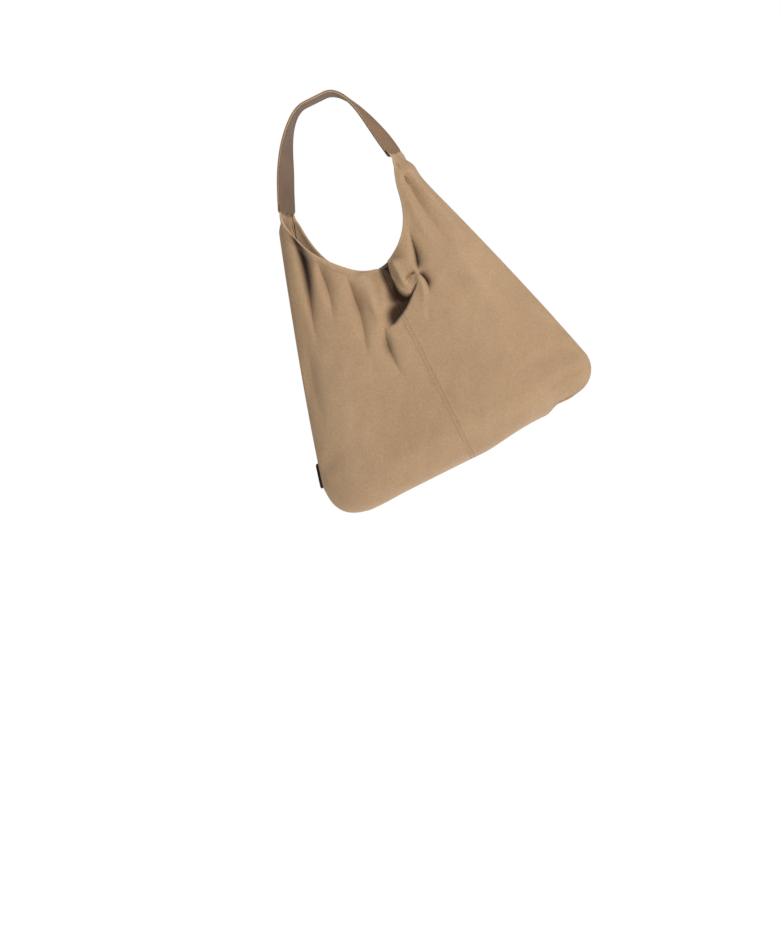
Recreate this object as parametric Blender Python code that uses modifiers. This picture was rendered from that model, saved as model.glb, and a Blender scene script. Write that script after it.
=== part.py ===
"""A slouchy suede hobo bag, hung from its shoulder strap.

The body is sewn from four suede panels that meet in a middle seam, two side seams and a bottom seam.
Its deep U-shaped mouth leaves a narrow neck on each side, and the strap is sewn to the two necks.
Inside are a leather facing round the mouth, a cloth lining, a magnetic snap, a zip pocket and a slip pocket.

Heights are measured up from the bottom seam, x from the middle seam and y from the plane of the side seams,
and hang() moves them to the part's own frame. Its origin is under the crown of the strap, where a shoulder
carries the bag. The front panels face -Y.
"""

import math

import bmesh
import bpy
from mathutils import Matrix, Vector

MM = 0.001

# Outline of the body, seen from the front.
BASE_HALF = 140 * MM  # half the straight bottom edge
CORNER_HALF = 199 * MM  # half the width across the lower corners
CORNER_Z = 50 * MM  # height of that widest line
NECK_Z = 406 * MM  # height of the strap's ends, and of the axis that the body swings on
NECK_OUT = 89.5 * MM  # half the width across the necks' outer sides, at NECK_Z
NECK_RIGHT = 82 * MM  # middle of each neck, where the strap ends
NECK_LEFT = 77 * MM  # the strap draws the left neck in
SIDE_BOW = 5.5 * MM  # how far the sides bow out of a straight line

# Mouth: a U-shaped edge between the necks.
MOUTH_HALF = 80 * MM
MOUTH_TOP = 388 * MM  # above this height the edge runs straight up a neck
MOUTH_Z = 283 * MM  # lowest point of the edge
MOUTH_POWER = 1.8  # 2 would be an ellipse, 1 a V

# Depth, from the plane of the side seams.
BELLY_DEPTH = 54 * MM  # half depth at CORNER_Z
NECK_DEPTH = 21 * MM  # half depth at NECK_Z
BELLY_BOW = 3 * MM
BELLY_SQUARE = 2.3  # power of the level sections: 2 is an ellipse, more is boxier
NECK_SQUARE = 7.5
LINING_SQUARE = 4.0
LINING_SHARE = 0.78  # the lining hangs flatter than the suede: its share of the depth
NECK_TWIST = math.radians(28)  # the necks turn with the strap, which lies slantwise on a shoulder
TWIST_FROM = 300 * MM
PINCH = 17 * MM  # the snap draws the front and back together at the middle of the mouth
PINCH_HALF = 30 * MM
PINCH_FROM = 225 * MM
PINCH_TO = 300 * MM

# Layers.
SUEDE = 1.5 * MM
FACING = 1.2 * MM
CLOTH = 0.8 * MM
GAP = 0.3 * MM  # between pieces that touch
FACING_WIDTH = 34 * MM
FACING_INSET = 4.0 * MM  # leaves room for a snap's washer behind the facing
LINING_LAP = 6 * MM  # how far the lining's edge goes up behind the facing's
LINING_INSET = 7 * MM  # its seams lie this far inside the suede's

# Strap.
STRAP_HALF = 19 * MM
CROWN_LEFT = 9 * MM  # the strap lies flat on the shoulder between these two
CROWN_RIGHT = 37 * MM
CROWN_Z = 522 * MM  # middle of the strap's thickness there
STRAP_FACE = 1.4 * MM
STRAP_CORE = 0.8 * MM
STRAP_THICKNESS = 2 * STRAP_FACE + STRAP_CORE + 2 * GAP
SWING = math.radians(45)  # the body swings this far each way under the strap

# Magnetic snap, on the facing below the middle of the mouth.
SNAP_DROP = 17 * MM
SNAP_R = 9 * MM
SNAP_POST_R = 2.6 * MM
SNAP_POST_LENGTH = 2.6 * MM
SNAP_HOLE_R = 3.0 * MM
WASHER_R = 7 * MM
WASHER = 0.8 * MM

# Zip pocket, sewn flat on the back lining.
ZIP_Z = 215 * MM
ZIP_HALF = 74 * MM  # half the length of the row of teeth
WINDOW_HALF_HEIGHT = 5.6 * MM
POCKET_HALF = 90 * MM
POCKET_ABOVE = 20 * MM
POCKET_BELOW = 112 * MM
TOOTH_BAR = (0.3 * MM, 2.3 * MM)  # from and to, away from the middle of the zip
TAPE_EDGE = (2.6 * MM, 14 * MM)
SLIDER_LENGTH = 11 * MM
SLIDER_HALF = 4 * MM
PULL_LENGTH = 27 * MM
PULL_HALF = 3.2 * MM
PULL_WIRE = 1.2 * MM
BRIDGE_HALF = 1.1 * MM

# Blank leather patch on the back, by the left side seam.
PATCH_LOW = 53 * MM
PATCH_HIGH = 86 * MM

PANEL_COLUMNS = 16
PANEL_ROWS = 18
ROUND_SHARE = 0.28  # share of a panel's rows that go round the bottom

ORIGIN = Vector(((CROWN_LEFT + CROWN_RIGHT) / 2, 0, CROWN_Z - STRAP_THICKNESS / 2))


def hang(point):
    """From heights above the bottom seam to the part's frame."""
    return Vector(point) - ORIGIN


def mix(a, b, share):
    return a + (b - a) * share


def smooth(low, high, value):
    share = min(1, max(0, (value - low) / (high - low)))
    return share * share * (3 - 2 * share)


# ---------------------------------------------------------------- the shape of the body


def rise(z):
    """0 at the widest line and 1 at the necks."""
    return min(1, max(0, (z - CORNER_Z) / (NECK_Z - CORNER_Z)))


def half_width(z):
    return mix(CORNER_HALF, NECK_OUT, rise(z)) + SIDE_BOW * math.sqrt(math.sin(math.pi * rise(z)) + 1e-12)


def half_depth(z):
    return mix(BELLY_DEPTH, NECK_DEPTH, rise(z)) + BELLY_BOW * math.sin(math.pi * rise(z))


def squareness(z):
    return mix(BELLY_SQUARE, NECK_SQUARE, rise(z) ** 4)


def mouth_half(z):
    """Half the mouth's width at a height."""
    if z >= MOUTH_TOP:
        return MOUTH_HALF
    down = (MOUTH_TOP - z) / (MOUTH_TOP - MOUTH_Z)
    return MOUTH_HALF * max(0, 1 - down**MOUTH_POWER) ** (1 / MOUTH_POWER)


def turn_neck(point):
    """Turns a point of a neck about the upright line through the neck's middle."""
    x, y, z = point
    angle = -NECK_TWIST * smooth(TWIST_FROM, NECK_Z, z)
    middle = NECK_RIGHT if x > 0 else -NECK_LEFT
    turned = Matrix.Rotation(angle, 2) @ Vector((x - middle, y))
    return Vector((turned.x + middle, turned.y, z))


def pinch(x, z):
    return PINCH * math.exp(-((x / PINCH_HALF) ** 4)) * smooth(PINCH_FROM, PINCH_TO, z)


def skin(s, z, side, inset, split, share=1.0, square=None):
    """Point of the body at s (-1 to 1 from seam to seam) and height z, on the front (side -1) or back (1).

    inset moves it in from the outer face, and split keeps the front and back apart at their seams.
    """
    power = square or squareness(z)
    across = s * (half_width(z) - inset)
    depth = share * (half_depth(z) - inset) * math.sqrt(max(0, 1 - abs(s) ** power)) - pinch(across, z)
    return turn_neck((across, side * (depth + split), z))


def bottom(s, turn, side, inset, split, share=1.0, square=None):
    """Point of the rounded bottom: turn is 0 at the bottom seam and 1 at the widest line."""
    angle = turn * math.pi / 2
    z = CORNER_Z - (CORNER_Z - inset) * math.cos(angle)
    across = s * (mix(BASE_HALF, CORNER_HALF, math.sin(angle)) - inset)
    bulge = math.sqrt(max(0, 1 - abs(s) ** (square or BELLY_SQUARE)))
    depth = share * (BELLY_DEPTH - inset) * math.sin(angle) * bulge
    return Vector((across, side * (depth + split), z))


def clearance_below_axis(y):
    """How far a neck's top stays below the swing axis, so that the strap's round end can turn over it."""
    radius = STRAP_HALF + 1.2 * MM
    tangent = radius * math.cos(SWING)
    if abs(y) < tangent:
        return math.sqrt(radius**2 - y**2)
    return (radius - abs(y) * math.cos(SWING)) / math.sin(SWING)


def top_height(s):
    """Height at which the line s meets the mouth's edge or, at a neck, its top."""
    low, high = MOUTH_Z, NECK_Z
    for _ in range(40):
        middle = (low + high) / 2
        if abs(s) * half_width(middle) > mouth_half(middle):
            low = middle
        else:
            high = middle
    near_top = NECK_Z - STRAP_HALF / 2
    highest = min(NECK_Z - clearance_below_axis(skin(s, near_top, k, 0, 0).y) for k in (-1, 1))
    neck = abs(s) * half_width(low) > mouth_half(low) and low > MOUTH_TOP
    return highest if neck or low > highest else low


# ---------------------------------------------------------------- building tools


def clear_scene():
    for obj in list(bpy.data.objects):
        bpy.data.objects.remove(obj, do_unlink=True)


def make_material(name, colour, roughness, metallic=0.0):
    material = bpy.data.materials.new(name)
    material.use_nodes = True
    shader = material.node_tree.nodes["Principled BSDF"]
    shader.inputs["Base Color"].default_value = (*colour, 1)
    shader.inputs["Roughness"].default_value = roughness
    shader.inputs["Metallic"].default_value = metallic
    return material


def make_collection(name):
    collection = bpy.data.collections.new(name)
    bpy.context.scene.collection.children.link(collection)
    return collection


def make_empty(name, location, collection, rotation=None, parent=None):
    """An empty at a place in the part's frame, to hang moving pieces on."""
    empty = bpy.data.objects.new(name, None)
    collection.objects.link(empty)
    empty.rotation_mode = "QUATERNION"
    world = Matrix.Translation(location) @ (rotation or Matrix.Identity(4))
    if parent:
        empty.parent = parent
        world = parent.matrix_world.inverted() @ world
    empty.matrix_local = world
    bpy.context.view_layer.update()
    return empty


def move_to(obj, collection):
    for old in list(obj.users_collection):
        old.objects.unlink(obj)
    collection.objects.link(obj)


def finish_piece(obj, name, material, parent, collection, local=False):
    """Names a piece, gives it its material and hangs it on its empty. local: its mesh is in the empty's frame."""
    obj.name = obj.data.name = name
    if material:
        obj.data.materials.append(material)
    move_to(obj, collection)
    obj.parent = parent
    obj.matrix_parent_inverse = Matrix.Identity(4) if local else parent.matrix_world.inverted()
    return obj


def make_sheet(name, columns, rows, point, thickness, material, parent):
    """A grid laid on point(u, v), with u and v from 0 to 1, and thickened evenly to both sides."""
    bpy.ops.mesh.primitive_grid_add(x_subdivisions=columns, y_subdivisions=rows, size=2)
    sheet = bpy.context.object
    for vertex in sheet.data.vertices:
        vertex.co = hang(point((vertex.co.x + 1) / 2, (vertex.co.y + 1) / 2))
    solid = sheet.modifiers.new("thickness", "SOLIDIFY")
    solid.thickness = thickness
    solid.offset = 0
    sheet.data.shade_smooth()
    sheet.data.set_sharp_from_angle(angle=math.radians(40))
    return finish_piece(sheet, name, material, parent, BAG)


def make_box(name, low, high, material, parent, bevel=0.0, collection=None):
    """A box between two corners in its empty's frame."""
    low, high = Vector(low), Vector(high)
    bpy.ops.mesh.primitive_cube_add(size=1)
    box = bpy.context.object
    for vertex in box.data.vertices:
        vertex.co = Vector(mix(a, b, c + 0.5) for a, b, c in zip(low, high, vertex.co))
    if bevel:
        rounding = box.modifiers.new("rounded edges", "BEVEL")
        rounding.width = bevel
        rounding.segments = 2
    return finish_piece(box, name, material, parent, collection or BAG, local=True)


def make_turned(name, profile, material, parent, closed=False, collection=None, steps=24):
    """A turned piece about its empty's z axis. profile is (radius, height) pairs, outer side top to bottom."""
    mesh = bpy.data.meshes.new(name)
    edges = [(i, i + 1) for i in range(len(profile) - 1)]
    if closed:
        edges.append((len(profile) - 1, 0))
    mesh.from_pydata([(r, 0, h) for r, h in profile], edges, [])
    turned = bpy.data.objects.new(name, mesh)
    bpy.context.scene.collection.objects.link(turned)
    screw = turned.modifiers.new("turn", "SCREW")
    screw.steps = screw.render_steps = steps
    screw.use_merge_vertices = True
    screw.merge_threshold = 0.00005
    return finish_piece(turned, name, material, parent, collection or BAG, local=True)


def cut(obj, cutter):
    cutter.hide_render = True
    cutter.display_type = "WIRE"
    hole = obj.modifiers.new("cut for " + cutter.name, "BOOLEAN")
    hole.operation = "DIFFERENCE"
    hole.object = cutter


# ---------------------------------------------------------------- suede body


def make_panel(name, hand, side):
    """One quarter of the body: hand is -1 left or 1 right, side is -1 front or 1 back."""
    middle = SUEDE / 2
    split = middle + GAP / 2

    def point(u, v):
        s = hand * math.sin(u * math.pi / 2)
        if v < ROUND_SHARE:
            place = bottom(s, v / ROUND_SHARE, side, middle, split)
        else:
            z = mix(CORNER_Z, top_height(s), (v - ROUND_SHARE) / (1 - ROUND_SHARE))
            place = skin(s, z, side, middle, split)
        return place + Vector((hand * GAP / 2, 0, 0))

    return make_sheet(name, PANEL_COLUMNS, PANEL_ROWS, point, SUEDE, SUEDE_TAN, SWING_AXIS)


def make_facing(name, side):
    """Leather band inside the mouth's edge, from neck to neck."""
    reach = 0.87  # the seam-to-seam share that the band covers

    def point(u, v):
        s = reach * (2 * u - 1)
        z = top_height(s) - GAP - FACING_WIDTH * (1 - v)
        return skin(s, z, side, FACING_INSET, 0)

    return make_sheet(name, 26, 3, point, FACING, FACING_LEATHER, SWING_AXIS)


def lining_point(s, v, side, extra=0.0):
    """Point of the lining, v from 0 at its bottom seam to 1 at its top edge."""
    inset = LINING_INSET + extra
    shape = {"share": LINING_SHARE, "square": LINING_SQUARE}
    split = CLOTH / 2 + GAP / 2
    if v < ROUND_SHARE:
        return bottom(s, v / ROUND_SHARE, side, inset, split, **shape)
    edge = min(top_height(s), MOUTH_TOP - 40 * MM) - FACING_WIDTH + LINING_LAP
    z = mix(CORNER_Z, edge, (v - ROUND_SHARE) / (1 - ROUND_SHARE))
    return skin(s, z, side, inset, split, **shape)


def make_lining(name, side):
    def point(u, v):
        return lining_point(math.sin((2 * u - 1) * math.pi / 2), v, side)

    return make_sheet(name, 20, 14, point, CLOTH, LINING_CLOTH, SWING_AXIS)


def make_slip_pocket():
    """A patch of lining cloth on the front lining, open along its top edge."""

    def point(u, v):
        place = lining_point(0.46 * (2 * u - 1), mix(0.36, 0.8, v), -1)
        return place + Vector((0, CLOTH + GAP, 0))

    return make_sheet("slip_pocket", 10, 6, point, CLOTH, LINING_CLOTH, SWING_AXIS)


def make_patch():
    """A blank leather patch on the back panel, close to the left side seam."""
    thickness = 1.6 * MM

    def point(u, v):
        s = -mix(0.9, 0.985, u)
        z = mix(PATCH_LOW, PATCH_HIGH, v)
        outset = -(thickness / 2 + 3 * GAP)  # the panel's facets stand a little off its true curve
        return skin(s, z, 1, outset, SUEDE / 2 + GAP / 2)

    return make_sheet("leather_patch", 4, 4, point, thickness, PATCH_LEATHER, SWING_AXIS)


# ---------------------------------------------------------------- strap


def bezier(points, t):
    a, b, c, d = (Vector(p) for p in points)
    return a * (1 - t) ** 3 + 3 * b * t * (1 - t) ** 2 + 3 * c * t * t * (1 - t) + d * t**3


def strap_path():
    """Middle line of the strap as (x, z) points from the left neck to the right, and the half width at each."""
    steps = 11
    end_rows = 5
    left = ((-NECK_LEFT, NECK_Z), (-57 * MM, 448 * MM), (-28 * MM, CROWN_Z), (CROWN_LEFT, CROWN_Z))
    right = ((CROWN_RIGHT, CROWN_Z), (65 * MM, CROWN_Z), (79 * MM, 484 * MM), (NECK_RIGHT, NECK_Z))
    points = [bezier(left, i / steps) for i in range(steps + 1)]
    points += [bezier(right, i / steps) for i in range(steps + 1)]
    widths = [STRAP_HALF] * len(points)
    tip = 0.93  # the round end stops short of a point
    for end, inner in ((0, 1), (-1, -2)):
        start = points[end]
        out = (points[end] - points[inner]).normalized()
        rows = [tip * math.pi / 2 * k / end_rows for k in range(1, end_rows + 1)]
        beyond = [start + out * STRAP_HALF * math.sin(a) for a in rows]
        narrow = [STRAP_HALF * math.cos(a) for a in rows]
        if end == 0:
            points, widths = beyond[::-1] + points, narrow[::-1] + widths
        else:
            points, widths = points + beyond, widths + narrow
    return points, widths


def make_strap_layer(name, offset, thickness, narrower, material):
    """One layer of the strap. offset is from the middle of its thickness, outwards from the loop."""
    points, widths = strap_path()
    crown = (CROWN_LEFT + CROWN_RIGHT) / 2
    last = len(points) - 1

    def point(u, v):
        i = round(u * last)
        here = points[i]
        along = (points[min(i + 1, last)] - points[max(i - 1, 0)]).normalized()
        if abs(here.y - CROWN_Z) < 0.01 * MM:
            along = Vector((1, 0))
        outwards = Vector((-along.y, 0, along.x))
        hand = math.copysign(1, here.x - crown)
        twist = hand * NECK_TWIST * smooth(15 * MM, 150 * MM, (here - Vector((crown, CROWN_Z))).length)
        across = Vector((0, math.cos(twist), 0)) + outwards * math.sin(twist)
        out = outwards * math.cos(twist) - Vector((0, math.sin(twist), 0))
        half = max(widths[i] - narrower, 1.5 * MM)
        return Vector((here.x, 0, here.y)) + across * half * (2 * v - 1) + out * offset

    return make_sheet(name, last, 2, point, thickness, material, STRAP_BODY)


# ---------------------------------------------------------------- magnetic snap


def facing_frame(side):
    """Frame on the inner face of the facing below the mouth: its z points into the bag, its y up."""
    z = MOUTH_Z - SNAP_DROP
    step = 1 * MM
    below, above = (skin(0, z + d, side, FACING_INSET, 0) for d in (-step, step))
    up = (above - below).normalized()
    inwards = Vector((0, -side, 0))
    inwards = (inwards - up * inwards.dot(up)).normalized()
    right = up.cross(inwards)
    surface = skin(0, z, side, FACING_INSET, 0) + inwards * (FACING / 2 + GAP)
    rotation = Matrix((right, up, inwards)).transposed().to_4x4()
    return hang(surface), rotation


def make_snap(side, word, cap_profile, facing):
    """A cap on the facing's inner face, with a post through the facing and a washer behind it."""
    location, rotation = facing_frame(side)
    seat = make_empty(f"snap_{word}_seat", location, BAG, rotation, SWING_AXIS)
    post = [(SNAP_POST_R, 0), (SNAP_POST_R, -SNAP_POST_LENGTH), (0, -SNAP_POST_LENGTH)]
    make_turned(f"snap_{word}", cap_profile + post, SNAP_METAL, seat)
    hole = [(0, 1 * MM), (SNAP_HOLE_R, 1 * MM), (SNAP_HOLE_R, -3 * MM), (0, -3 * MM)]
    cut(facing, make_turned(f"cutter_{word}", hole, None, seat, collection=CUTTERS))
    top = -(FACING + 2 * GAP)
    inner = SNAP_POST_R + GAP
    ring = [(inner, top), (WASHER_R, top), (WASHER_R, top - WASHER), (inner, top - WASHER)]
    make_turned(f"snap_washer_{word}", ring, SNAP_METAL, seat, closed=True)


def make_snaps(front_facing, back_facing):
    socket_height = 3.0 * MM
    well_depth = 1.9 * MM
    well_r = 3.4 * MM
    socket = [
        (0, socket_height - well_depth),
        (well_r, socket_height - well_depth),
        (well_r, socket_height),
        (SNAP_R - 0.8 * MM, socket_height),
        (SNAP_R, socket_height - 0.8 * MM),
        (SNAP_R, 0),
    ]
    stud_height = 2.2 * MM
    stud = [
        (0, stud_height + 1.6 * MM),
        (2.2 * MM, stud_height + 1.6 * MM),
        (2.8 * MM, stud_height + 1.0 * MM),
        (2.8 * MM, stud_height),
        (SNAP_R - 0.8 * MM, stud_height),
        (SNAP_R, stud_height - 0.8 * MM),
        (SNAP_R, 0),
    ]
    make_snap(-1, "socket", socket, front_facing)
    make_snap(1, "stud", stud, back_facing)


# ---------------------------------------------------------------- zip pocket


def zip_seat():
    """Frame on the back lining at the zip: x along the zip, y up the lining and z into the bag."""
    step = 10 * MM

    def on_lining(x, z):
        s = x / (half_width(z) - LINING_INSET)
        return skin(s, z, 1, LINING_INSET, CLOTH / 2 + GAP / 2, LINING_SHARE, LINING_SQUARE)

    up = (on_lining(0, ZIP_Z + step) - on_lining(0, ZIP_Z - step)).normalized()
    inwards = Vector((0, -up.z, up.y))
    nearest = on_lining(POCKET_HALF, ZIP_Z + POCKET_ABOVE)
    place = on_lining(0, ZIP_Z)
    place += inwards * ((nearest - place).dot(inwards) + CLOTH / 2 + GAP)
    rotation = Matrix((Vector((1, 0, 0)), up, inwards)).transposed().to_4x4()
    return make_empty("zip_seat", hang(place), BAG, rotation, SWING_AXIS)


def make_zip_pocket():
    seat = zip_seat()
    tape = (0.9 * MM, 1.5 * MM)
    teeth = (0.2 * MM, 2.4 * MM)
    cloth = (tape[1] + GAP, tape[1] + GAP + CLOTH)
    front = make_box(
        "zip_pocket_front",
        (-POCKET_HALF, -POCKET_BELOW, cloth[0]),
        (POCKET_HALF, POCKET_ABOVE, cloth[1]),
        LINING_CLOTH,
        seat,
    )
    window = make_box(
        "cutter_window",
        (-ZIP_HALF - 3 * MM, -WINDOW_HALF_HEIGHT, 0),
        (ZIP_HALF + 3 * MM, WINDOW_HALF_HEIGHT, 5 * MM),
        None,
        seat,
        collection=CUTTERS,
    )
    cut(front, window)
    for word, up in (("lower", -1), ("upper", 1)):
        bar = sorted(up * d for d in TOOTH_BAR)
        edge = sorted(up * d for d in TAPE_EDGE)
        make_box(f"zip_teeth_{word}", (-ZIP_HALF, bar[0], teeth[0]), (ZIP_HALF, bar[1], teeth[1]), ZIP_METAL, seat)
        reach = ZIP_HALF + 8 * MM
        make_box(f"zip_tape_{word}", (-reach, edge[0], tape[0]), (reach, edge[1], tape[1]), ZIP_TAPE, seat)
    for word, hand in (("left", -1), ("right", 1)):
        ends = sorted(hand * (ZIP_HALF + d) for d in (GAP, GAP + 1.8 * MM))
        low = (ends[0], -TOOTH_BAR[1], teeth[0])
        make_box(f"zip_stop_{word}", low, (ends[1], TOOTH_BAR[1], teeth[1]), ZIP_METAL, seat, bevel=0.3 * MM)
    make_slider(seat, teeth[1] + GAP)


def make_slider(seat, floor):
    """Slider plate with a bridge, and a pull whose end bar lies under the bridge. It starts at the left end."""
    start = -ZIP_HALF + SLIDER_LENGTH / 2 + 1 * MM
    home = make_empty("slider_home", seat.matrix_world @ Vector((start, 0, floor)), BAG, seat_turn(seat), seat)
    plate = 1.3 * MM
    tunnel = 2.0 * MM  # room under the bridge
    bridge = 1.0 * MM
    half = SLIDER_LENGTH / 2
    slider = make_box("zip_slider", (-half, -SLIDER_HALF, 0), (half, SLIDER_HALF, plate), ZIP_METAL, home, 0.4 * MM)
    arch_half = 4 * MM
    arch_low = (-arch_half, -BRIDGE_HALF, plate / 2)
    arch_high = (arch_half, BRIDGE_HALF, plate + tunnel + bridge)
    arch = make_box("cutter_arch", arch_low, arch_high, None, home, 0.3 * MM, CUTTERS)
    arch.hide_render = True
    hollow_half = arch_half - bridge
    hollow_low = (-hollow_half, -2 * BRIDGE_HALF, plate)
    hollow_high = (hollow_half, 2 * BRIDGE_HALF, plate + tunnel)
    hollow = make_box("cutter_hollow", hollow_low, hollow_high, None, home, collection=CUTTERS)
    cut(arch, hollow)
    join = slider.modifiers.new("arch", "BOOLEAN")
    join.operation = "UNION"
    join.object = arch
    arch.display_type = "WIRE"

    axis = make_empty("pull_axis", home.matrix_world @ Vector((0, 0, plate + tunnel / 2)), BAG, seat_turn(seat), home)
    pull_half = PULL_WIRE / 2
    low = (-pull_half, -PULL_HALF, -pull_half)
    high = (PULL_LENGTH, PULL_HALF, pull_half)
    pull = make_box("zip_pull", low, high, ZIP_METAL, axis, 0.3 * MM)
    eye_half = BRIDGE_HALF + 0.5 * MM
    eye = make_box("cutter_eye", (pull_half, -eye_half, -1 * MM), (6.5 * MM, eye_half, 1 * MM), None, axis, 0, CUTTERS)
    cut(pull, eye)
    hole = (15 * MM, 22 * MM)
    slot_half = 1.3 * MM
    slot = make_box(
        "cutter_slot", (hole[0], -slot_half, -1 * MM), (hole[1], slot_half, 1 * MM), None, axis, 0, CUTTERS
    )
    cut(pull, slot)


def seat_turn(seat):
    return seat.matrix_world.to_3x3().to_4x4()


# ---------------------------------------------------------------- the bag

clear_scene()
BAG = make_collection("hobo_bag")
CUTTERS = make_collection("cutters")

SUEDE_TAN = make_material("suede", (0.42, 0.29, 0.17), 0.95)
STRAP_LEATHER = make_material("strap_leather", (0.36, 0.23, 0.13), 0.6)
STRAP_BOARD = make_material("strap_board", (0.55, 0.45, 0.33), 0.9)
FACING_LEATHER = make_material("facing_leather", (0.40, 0.27, 0.16), 0.7)
LINING_CLOTH = make_material("lining_cloth", (0.55, 0.47, 0.36), 0.95)
PATCH_LEATHER = make_material("patch_leather", (0.03, 0.025, 0.02), 0.5)
SNAP_METAL = make_material("snap_metal", (0.62, 0.55, 0.42), 0.3, 1.0)
ZIP_METAL = make_material("zip_metal", (0.60, 0.50, 0.33), 0.3, 1.0)
ZIP_TAPE = make_material("zip_tape", (0.34, 0.25, 0.16), 0.9)

STRAP_BODY = make_empty("strap_body", Vector((0, 0, 0)), BAG)
SWING_AXIS = make_empty("swing_axis", hang((0, 0, NECK_Z)), BAG)

layer_gap = STRAP_CORE / 2 + GAP + STRAP_FACE / 2
make_strap_layer("strap_outer", layer_gap, STRAP_FACE, 0, STRAP_LEATHER)
make_strap_layer("strap_core", 0, STRAP_CORE, 2 * MM, STRAP_BOARD)
make_strap_layer("strap_lining", -layer_gap, STRAP_FACE, 0, STRAP_LEATHER)

for side_word, side in (("front", -1), ("back", 1)):
    for hand_word, hand in (("left", -1), ("right", 1)):
        make_panel(f"{side_word}_panel_{hand_word}", hand, side)
    make_lining(f"{side_word}_lining", side)
front = make_facing("front_facing", -1)
back = make_facing("back_facing", 1)
make_snaps(front, back)
make_slip_pocket()
make_zip_pocket()
make_patch()
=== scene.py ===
# %% [markdown]
# # A suede hobo bag
# A hobo bag is a soft sack with a deep U-shaped mouth. The leather on each side of the mouth runs up into a
# narrow neck, and one short strap joins the two necks. This notebook dresses the bag's fixed frame with
# pieces that look like suede, smooth leather, cloth, thread and brass.
#
# The frame comes first: it loads the solid parts with their places, and everything below is set by them.

import math

import bmesh
import bpy
import numpy as np
from mathutils import Matrix, Vector
from mathutils.bvhtree import BVHTree


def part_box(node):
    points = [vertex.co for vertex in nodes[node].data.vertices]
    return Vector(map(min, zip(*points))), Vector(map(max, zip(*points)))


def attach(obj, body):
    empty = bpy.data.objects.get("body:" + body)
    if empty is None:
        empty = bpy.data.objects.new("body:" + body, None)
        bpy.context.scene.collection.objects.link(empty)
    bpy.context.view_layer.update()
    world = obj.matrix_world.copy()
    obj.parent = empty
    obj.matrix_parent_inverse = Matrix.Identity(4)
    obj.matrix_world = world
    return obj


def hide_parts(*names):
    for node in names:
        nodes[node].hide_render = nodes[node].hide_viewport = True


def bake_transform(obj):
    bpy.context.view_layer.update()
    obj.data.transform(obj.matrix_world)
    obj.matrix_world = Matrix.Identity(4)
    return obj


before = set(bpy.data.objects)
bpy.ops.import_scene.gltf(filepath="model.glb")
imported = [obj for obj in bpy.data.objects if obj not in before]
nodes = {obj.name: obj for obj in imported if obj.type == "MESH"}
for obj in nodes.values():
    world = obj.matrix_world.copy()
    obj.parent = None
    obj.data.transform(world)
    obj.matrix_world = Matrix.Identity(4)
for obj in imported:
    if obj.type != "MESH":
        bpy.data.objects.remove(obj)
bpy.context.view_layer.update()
bpy.ops.object.select_all(action="DESELECT")

# %% [markdown]
# ## The bag's own measures
# A bag maker works from a paper pattern, with heights taken up from the bottom seam. The same is done here:
# `UP` and `ACROSS` turn the pattern's measures into places in the frame. They come from the lowest point of
# the suede and from the middle of the snap, so the pattern always lies on the solid parts.

# %% Measures of the bag, in metres
MM = 0.001
panel_low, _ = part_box("front_panel_right")
snap_low, snap_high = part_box("snap_socket")
UP = panel_low.z
ACROSS = (snap_low.x + snap_high.x) / 2
BASE_HALF = 140 * MM  # half the width of the bottom's flat middle
CORNER_HALF = 199 * MM  # half the width where the corners end and the sides start
CORNER_Z = 50 * MM
CORNER_SQUARE = (0.72, 0.85)  # left and right: at 1 the corner is a round one, below 1 it is tighter
NECK_Z = 406 * MM  # height where the strap holds the necks
NECK_OUT = 89.5 * MM  # half the width there
NECK_RIGHT = 87 * MM  # middle of each neck there
NECK_LEFT = 77 * MM
NECK_FLAT = (383 * MM, 410 * MM)  # between these heights a neck goes from round to flat
SIDE_BOW = 5.5 * MM  # the sides bow out by this much
MOUTH_HALF = 80 * MM
MOUTH_TOP = 388 * MM
MOUTH_Z = 283 * MM  # lowest point of the mouth's edge
MOUTH_POWER = 1.8  # at 2 the mouth is an ellipse, below 2 it is more pointed
BELLY_DEPTH = 54 * MM  # from the side seams forwards or backwards
NECK_DEPTH = 21 * MM
BELLY_BOW = 3 * MM
TWIST = math.radians(28)  # the strap's ends and the necks lie slantwise by this much
TWIST_FROM = 300 * MM
PINCH = 17 * MM  # the snap draws the mouth in by this much
PINCH_HALF = 30 * MM
PINCH_FADES = (225 * MM, 300 * MM)
HALF_GAP = 0.15 * MM  # from the bag's middle plane to the leather or cloth at a side seam
SUEDE = 1.5 * MM
MIDDLE_ROW = 2.5 * MM  # from the middle seam to each row of its stitches
ROUND_SHARE = 0.2  # share of a panel's rows that go round the bottom
NECK_TUCK = 424 * MM  # the necks' ends lie inside the strap's ends, up to here
STRAP_ENDS = {-1: 404 * MM, 1: 410 * MM}  # height of the strap's left and right ends
LEFT_LEAN = 0.47  # the strap's left end leans this much across for each step up
RIGHT_LEAN = -0.13
print("bottom seam at", round(UP, 4), "middle seam at", round(ACROSS, 4))


# %% Helpers for smooth steps
def mix(a, b, share):
    return a + (b - a) * share


def smooth(low, high, value):
    share = np.clip((np.asarray(value, float) - low) / (high - low), 0, 1)
    return share * share * (3 - 2 * share)


def bump(distance, width, power=2.0):
    """A soft hill of height 1 at distance 0."""
    return np.exp(-np.abs(np.asarray(distance) / width) ** power)


print("half way up a smooth step:", smooth(0, 2, 1), "a bump at its width:", round(float(bump(1, 1)), 3))

# %% [markdown]
# ## The slack shell of the body
# Soft leather can be made by cloth simulation or by sculpting. This bag hangs in a shape that its snap, its
# stitching and its strap decide, so it is sculpted in code: first a smooth shell, lofted from level sections,
# and then the folds, drawn on it as lines the way a sculptor's crease brush works.
#
# A place on the shell has two numbers. `s` goes from -1 at the left side seam to 1 at the right one, and `v`
# from 0 at the bottom seam to 1 at the mouth's edge or a neck's end.

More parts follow.
